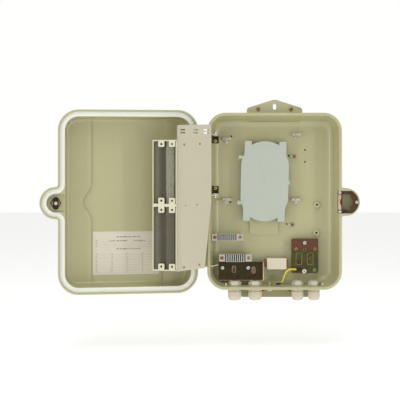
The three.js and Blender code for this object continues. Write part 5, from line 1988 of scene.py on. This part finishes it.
@dataclass
class EarthLead:
    """The yellow and green earth lead, with a sleeve and a lug at each end, and the bolt in the bottom wall."""

    route: tuple[tuple[float, float, float], ...] = (
        (51.5, -26.2, -157.2), (44, -26.8, -156.9), (36, -28, -157.6), (29, -30, -162),
        (25, -32, -169.5), (22.5, -34.5, -177.4), (20, -37, -183.6), (16.4, -39.4, -187.3),
    )
    radius: float = 2.5
    stud: tuple[float, float] = (-10.0, -42.0)
    steps: int = 8

    def _line(self) -> np.ndarray:
        """A smooth line through the route: each stretch is the cubic through its ends and their neighbours.

        Returns:
            Points in space.
        """
        p = np.array(self.route)
        padded = np.concatenate([[2 * p[0] - p[1]], p, [2 * p[-1] - p[-2]]])
        t = np.linspace(0, 1, self.steps, endpoint=False)[None, :, None]
        a, b, c, d = (padded[i : i + len(p) - 1][:, None] for i in range(4))
        line = 0.5 * (2 * b + (c - a) * t + (2 * a - 5 * b + 4 * c - d) * t**2 + (3 * b - a - 3 * c + d) * t**3)
        return np.concatenate([line.reshape(-1, 3), p[-1:]])

    def _sleeve(self, start: Sequence[float], end: Sequence[float], radius: float) -> Form:
        """A shrunk sleeve: a tube whose radius tapers at both ends and swells over the crimp.

        Args:
            start: Where it starts.
            end: Where it ends.
            radius: The sleeve's radius.

        Returns:
            The sleeve.
        """
        t = np.linspace(0, 1, 15)
        line = np.asarray(start, float) + (np.asarray(end, float) - np.asarray(start, float)) * t[:, None]
        tube = Form().tube(line, radius, 24)
        wide = 1 - 0.16 * np.clip(1 - t / 0.12, 0, 1) - 0.12 * np.clip(1 - (1 - t) / 0.15, 0, 1)
        wide *= 1 + 0.05 * np.sin(t * 9)
        rows = tube.points.reshape(len(t), 24, 3)
        tube.points = (line[:, None] + (rows - line[:, None]) * wide[:, None, None]).reshape(-1, 3)
        return tube

    def build(self, bench: Bench) -> None:
        """Builds the lead, its ends, and the bolt with its washer and nut.

        Args:
            bench: The bench that finishes each piece.
        """
        line = self._line()
        sides = 24
        wire = bench.put(
            "earth_wire_fine", Form().tube(line, self.radius, sides), YELLOW, "box", "wire_jacket", ["earth_wire"]
        )
        around = np.tile(np.arange(sides) / sides, len(line))
        along = np.repeat(np.arange(len(line)) / len(line), sides)
        unwrapped(wire, lambda points: np.stack([around, along], axis=1))
        for name, start, end, radius in (
            ("upper", (64.2, -26.0, -159.5), (52.0, -26.2, -157.3), 3.1),
            ("lower", (14.9, -39.8, -187.9), (4.6, -41.5, -188.7), 2.4),
        ):
            node = f"earth_sleeve_{name}"
            shape = self._sleeve(start, end, radius)
            bench.put(f"{node}_fine", shape, BLACK, "box", "black_sleeve", [node], smooth=50)
        2 * self.radius * MM
        eye = np.array([(2.2, -22.8), (5, -22.8), (5, -24), (2.2, -24)])
        upper = Form().lathe(eye, (70.3, -161.5), sides=32, ring=True)
        bench.put("earth_lug_upper_fine", upper, BRIGHT, "box", "bright_zinc", ["earth_lug_upper"], bevel=0.15)
        low = -191.7
        ring = carved(
            Form().rod(self.stud, 6, low, low + 1.5, Axis.Z, 32), [Form().rod(self.stud, 3.4, -195, -180, Axis.Z)],
            [Form().box((-5.5, 4), (-44.5, -39.5), (low, low + 1.5))],
        )
        bench.put("earth_lug_lower_fine", ring, DULL, "box", "bright_zinc", ["earth_lug_lower"], bevel=0.2)
        bolt = carved(
            Form().rod(self.stud, 3, -200, -186, Axis.Z, 24), (),
            [
                Form().prism(hexagon(self.stud, 5.6), -204.5, -199.9, Axis.Z),
                Form().rod(self.stud, 6.6, -200.4, -199.3, Axis.Z, 32),
            ],
        )
        bench.put("earth_bolt_fine", bolt, NYLON, "box", "bright_zinc", ["earth_bolt"], bevel=0.3)
        nut = carved(
            Form().prism(hexagon(self.stud, 5.6), low + 1.8, low + 4.8, Axis.Z),
            [Form().rod(self.stud, 3.3, low, low + 8, Axis.Z)],
        )
        bench.put("earth_nut_fine", nut, DULL, "box", "bright_zinc", ["earth_nut"], bevel=0.4)


@dataclass
class Fittings:
    """The fibre clips, small saddles and hinge brackets round the inside of the box."""

    clips: tuple[tuple[float, float], ...] = ((-107.2, 134.9), (53.8, 145.3), (-107.7, -4.0), (52.2, -4.0))
    saddles: tuple[tuple[float, float], ...] = ((49.0, 101.1), (44.2, -56.1))
    brackets: tuple[tuple[str, float, int], ...] = (("upper", 140.0, 1), ("lower", 25.0, -1))
    floor_y: float = -3.8

    def _clip(self, x: float, z: float) -> Form:
        """A nylon loop that stands out from the floor, open at one corner, with a drilled foot.

        Args:
            x: The clip's place across the floor.
            z: The clip's height.

        Returns:
            The clip.
        """
        low, high = z + 3.6, z + 9.6
        loop = rounded((x - 11.5, x + 11.5), (-27, self.floor_y), 6)
        hole = rounded((x - 9.5, x + 9.5), (-25, self.floor_y - 2), 4.5)
        foot = Form().prism(rounded((x - 4.5, x + 4.5), (z - 5, low + 1), 2.5, 5), self.floor_y - 2, self.floor_y)
        return carved(
            Form().prism(loop, low, high, Axis.Z),
            [
                Form().prism(hole, low - 1, high + 1, Axis.Z),
                Form().box((x - 5, x - 2), (-29, -23), (low - 1, high + 1)),
            ],
            [foot],
        )

    def _leaf(self, z: float, side: int) -> Form:
        """The part of a frame bracket that lies on the side wall's ledge."""
        hole = Form().rod((FRAME_HINGE[0], z - 4 * side), 1.9, -48, -43)
        return carved(Form().box((-141, -126), (-46.5, -45), (z - 9, z + 9)), [hole])

    def _lug(self, z: float, side: int) -> Form:
        """The lug that stands out from the leaf and carries the frame's upright pin.

        Args:
            z: The lug's height.
            side: Which way it points.

        Returns:
            The lug.
        """
        lug, tip = z + side * 8.2, z + side * 17
        pin = Form().rod(FRAME_HINGE, 2, min(lug, tip), max(lug, tip), Axis.Z, 24)
        return carved(Form().box((-139, -128), (-58, -46.52), (lug - 0.8, lug + 0.8)), (), [pin])

    def build(self, bench: Bench) -> None:
        """Builds every fitting with its screw.

        Args:
            bench: The bench that finishes each piece.
        """
        for i, (x, z) in enumerate(self.clips, 1):
            node = f"fibre_clip_{i}"
            bench.put(f"{node}_fine", self._clip(x, z), CLIP_NYLON, "box", "nylon", [node], bevel=0.35)
            screw = PanScrew((x, z - 1), self.floor_y - 2.05, 3.6, 2, turn=31.0 * i)
            screw.put(bench, f"{node}_screw", BRIGHT, "bright_zinc")
        for i, (x, z) in enumerate(self.saddles, 1):
            node = f"cable_saddle_{i}"
            strap = carved(
                Form().prism(rounded((x - 9, x + 3), (z - 3, z + 3), 1.2, 4), self.floor_y - 3, self.floor_y), (),
                [Form().rod((x, z), 4.6, self.floor_y - 4, self.floor_y)],
            )
            bench.put(f"{node}_fine", strap, ALUMINIUM, "box", "bright_zinc", [node], bevel=0.5)
            screw = PanScrew((x, z), self.floor_y - 4.05, 4.2, 3, turn=50.0 * i)
            screw.put(bench, f"{node}_screw", COPPERY, "passivated_zinc")
        for name, z, side in self.brackets:
            node = f"frame_bracket_{name}"
            leaf = bench.put(f"{node}_fine", self._leaf(z, side), DARK_ZINC, "box", "passivated_zinc", bevel=0.3)
            lug = bench.put(f"{node}_lug", self._lug(z, side), BRIGHT, "box", "passivated_zinc", bevel=0.3)
            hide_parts(node)
            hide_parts(node)
            screw = PanScrew((FRAME_HINGE[0], z - 4 * side), -46.55, 3.9, 3, turn=40.0)
            screw.put(bench, f"{node}_screw", BRASSY, "passivated_zinc")
        shaft = Form().rod(LID_HINGE, 2.5, -151, 151, Axis.Z, 28)
        heads = [Form().rod(LID_HINGE, 4.1, low, low + 1.4, Axis.Z, 28) for low in (-151.0, 149.6)]
        bench.put("hinge_pin_fine", carved(shaft, (), heads), BRIGHT, "box", "bright_zinc", ["hinge_pin"], bevel=0.3)
        path = np.linspace((-139.8, -40.0, -148.3), (-127.3, -38.5, -145.5), 9)
        tie = Form().tube(path, 0.9, 12)
        profile = np.array([(1.9, -41.2), (2.1, -40), (1.9, -38.8), (0.4, -38.6)])
        knot = Form().lathe(profile, (-140.2, -148.4), sides=16)
        bench.put("tie_tail", tie, TIE, "box", "nylon")
        bench.put("tie_head", knot, TIE, "box", "nylon")


@dataclass
class Studio:
    """Pale floor, soft light and the camera."""

    lens: float = 99.7
    place: tuple[float, float, float] = (-0.1685, -2.56, 0.1045)
    shift: float = -0.1125
    surround: float = 0.42

    def camera(self) -> None:
        """A level camera straight in front of the open box."""
        data = bpy.data.cameras.new("camera")
        data.lens, data.shift_y, data.clip_end = self.lens, self.shift, 50
        camera = bpy.data.objects.new("camera", data)
        camera.location, camera.rotation_euler = self.place, (math.pi / 2, 0, 0)
        bpy.context.scene.collection.objects.link(camera)
        bpy.context.scene.camera = camera

    def _panel(
        self, name: str, at: Sequence[float], aim: Sequence[float], size: tuple[float, float], power: float
    ) -> None:
        """One light panel that points at a place.

        Args:
            name: The lamp's name.
            at: Where it stands.
            aim: What it points at.
            size: Its width and height, in metres.
            power: Its power, in watts.
        """
        data = bpy.data.lights.new(name, "AREA")
        data.shape, data.energy = "RECTANGLE", power
        data.size, data.size_y = size
        lamp = bpy.data.objects.new(name, data)
        bpy.context.scene.collection.objects.link(lamp)
        lamp.location = at
        lamp.rotation_euler = (Vector(aim) - Vector(at)).to_track_quat("-Z", "Y").to_euler()

    def light(self) -> None:
        """Soft surroundings that look white, a panel above, and a tall strip at each side."""
        world = bpy.data.worlds.new("studio")
        bpy.context.scene.world = world
        world.use_nodes = True
        tree = world.node_tree
        background = tree.nodes["Background"]
        background.inputs["Color"].default_value = (1.0, 1.0, 0.99, 1.0)
        seen = tree.nodes.new("ShaderNodeLightPath")
        level = tree.nodes.new("ShaderNodeMapRange")
        level.inputs["To Min"].default_value, level.inputs["To Max"].default_value = self.surround, 1.0
        tree.links.new(seen.outputs["Is Camera Ray"], level.inputs["Value"])
        tree.links.new(level.outputs["Result"], background.inputs["Strength"])
        self._panel("key", (-0.45, -1.7, 1.7), (-0.1, 0, 0), (1.1, 1.1), 9)
        self._panel("overhead", (-0.15, -0.75, 2.1), (-0.15, 0, 0), (1.3, 1.0), 8.5)
        self._panel("left_strip", (-2.0, -1.75, 0.1), (-0.1, 0, 0), (0.28, 1.3), 10)
        self._panel("right_strip", (1.7, -1.75, 0.1), (-0.1, 0, 0), (0.28, 1.3), 11)
        bpy.context.scene.view_settings.view_transform = "Standard"

    def floor(self) -> None:
        """A wide pale floor under the object."""
        mesh = bpy.data.meshes.new("floor")
        size, level = 6.0, -0.34
        corners = [(-size, -size, level), (size, -size, level), (size, size, level), (-size, size, level)]
        mesh.from_pydata(corners, [], [(0, 1, 2, 3)])
        floor = bpy.data.objects.new("floor", mesh)
        bpy.context.scene.collection.objects.link(floor)
        g = Graph("pale_floor")
        g.feed(g.shader, {
            "Base Color": (0.93, 0.93, 0.92), "Roughness": 0.9,
            "Emission Color": (1.0, 1.0, 1.0), "Emission Strength": 0.5,
        })
        mesh.materials.append(g.material)


def main() -> None:
    """Builds the object in order and reports each piece."""
    logging.basicConfig(level=logging.INFO, format="%(name)s: %(message)s")
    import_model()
    studio = Studio()
    studio.camera()
    bench = Bench()
    for group in (
        EarthLead(), BaseShell(), WallBrackets(), Keeper(), Lid(), Lock(), SwingFrame(), SpliceTray(), Glands(),
        CableClamps(), CablePlate(), EarthPlate(), TerminalBlock(), Fittings(),
    ):
        group.build(bench)
    studio.floor()
    studio.light()
    log.info("%d pieces made", bench.count)


if __name__ == "__main__":
    main()
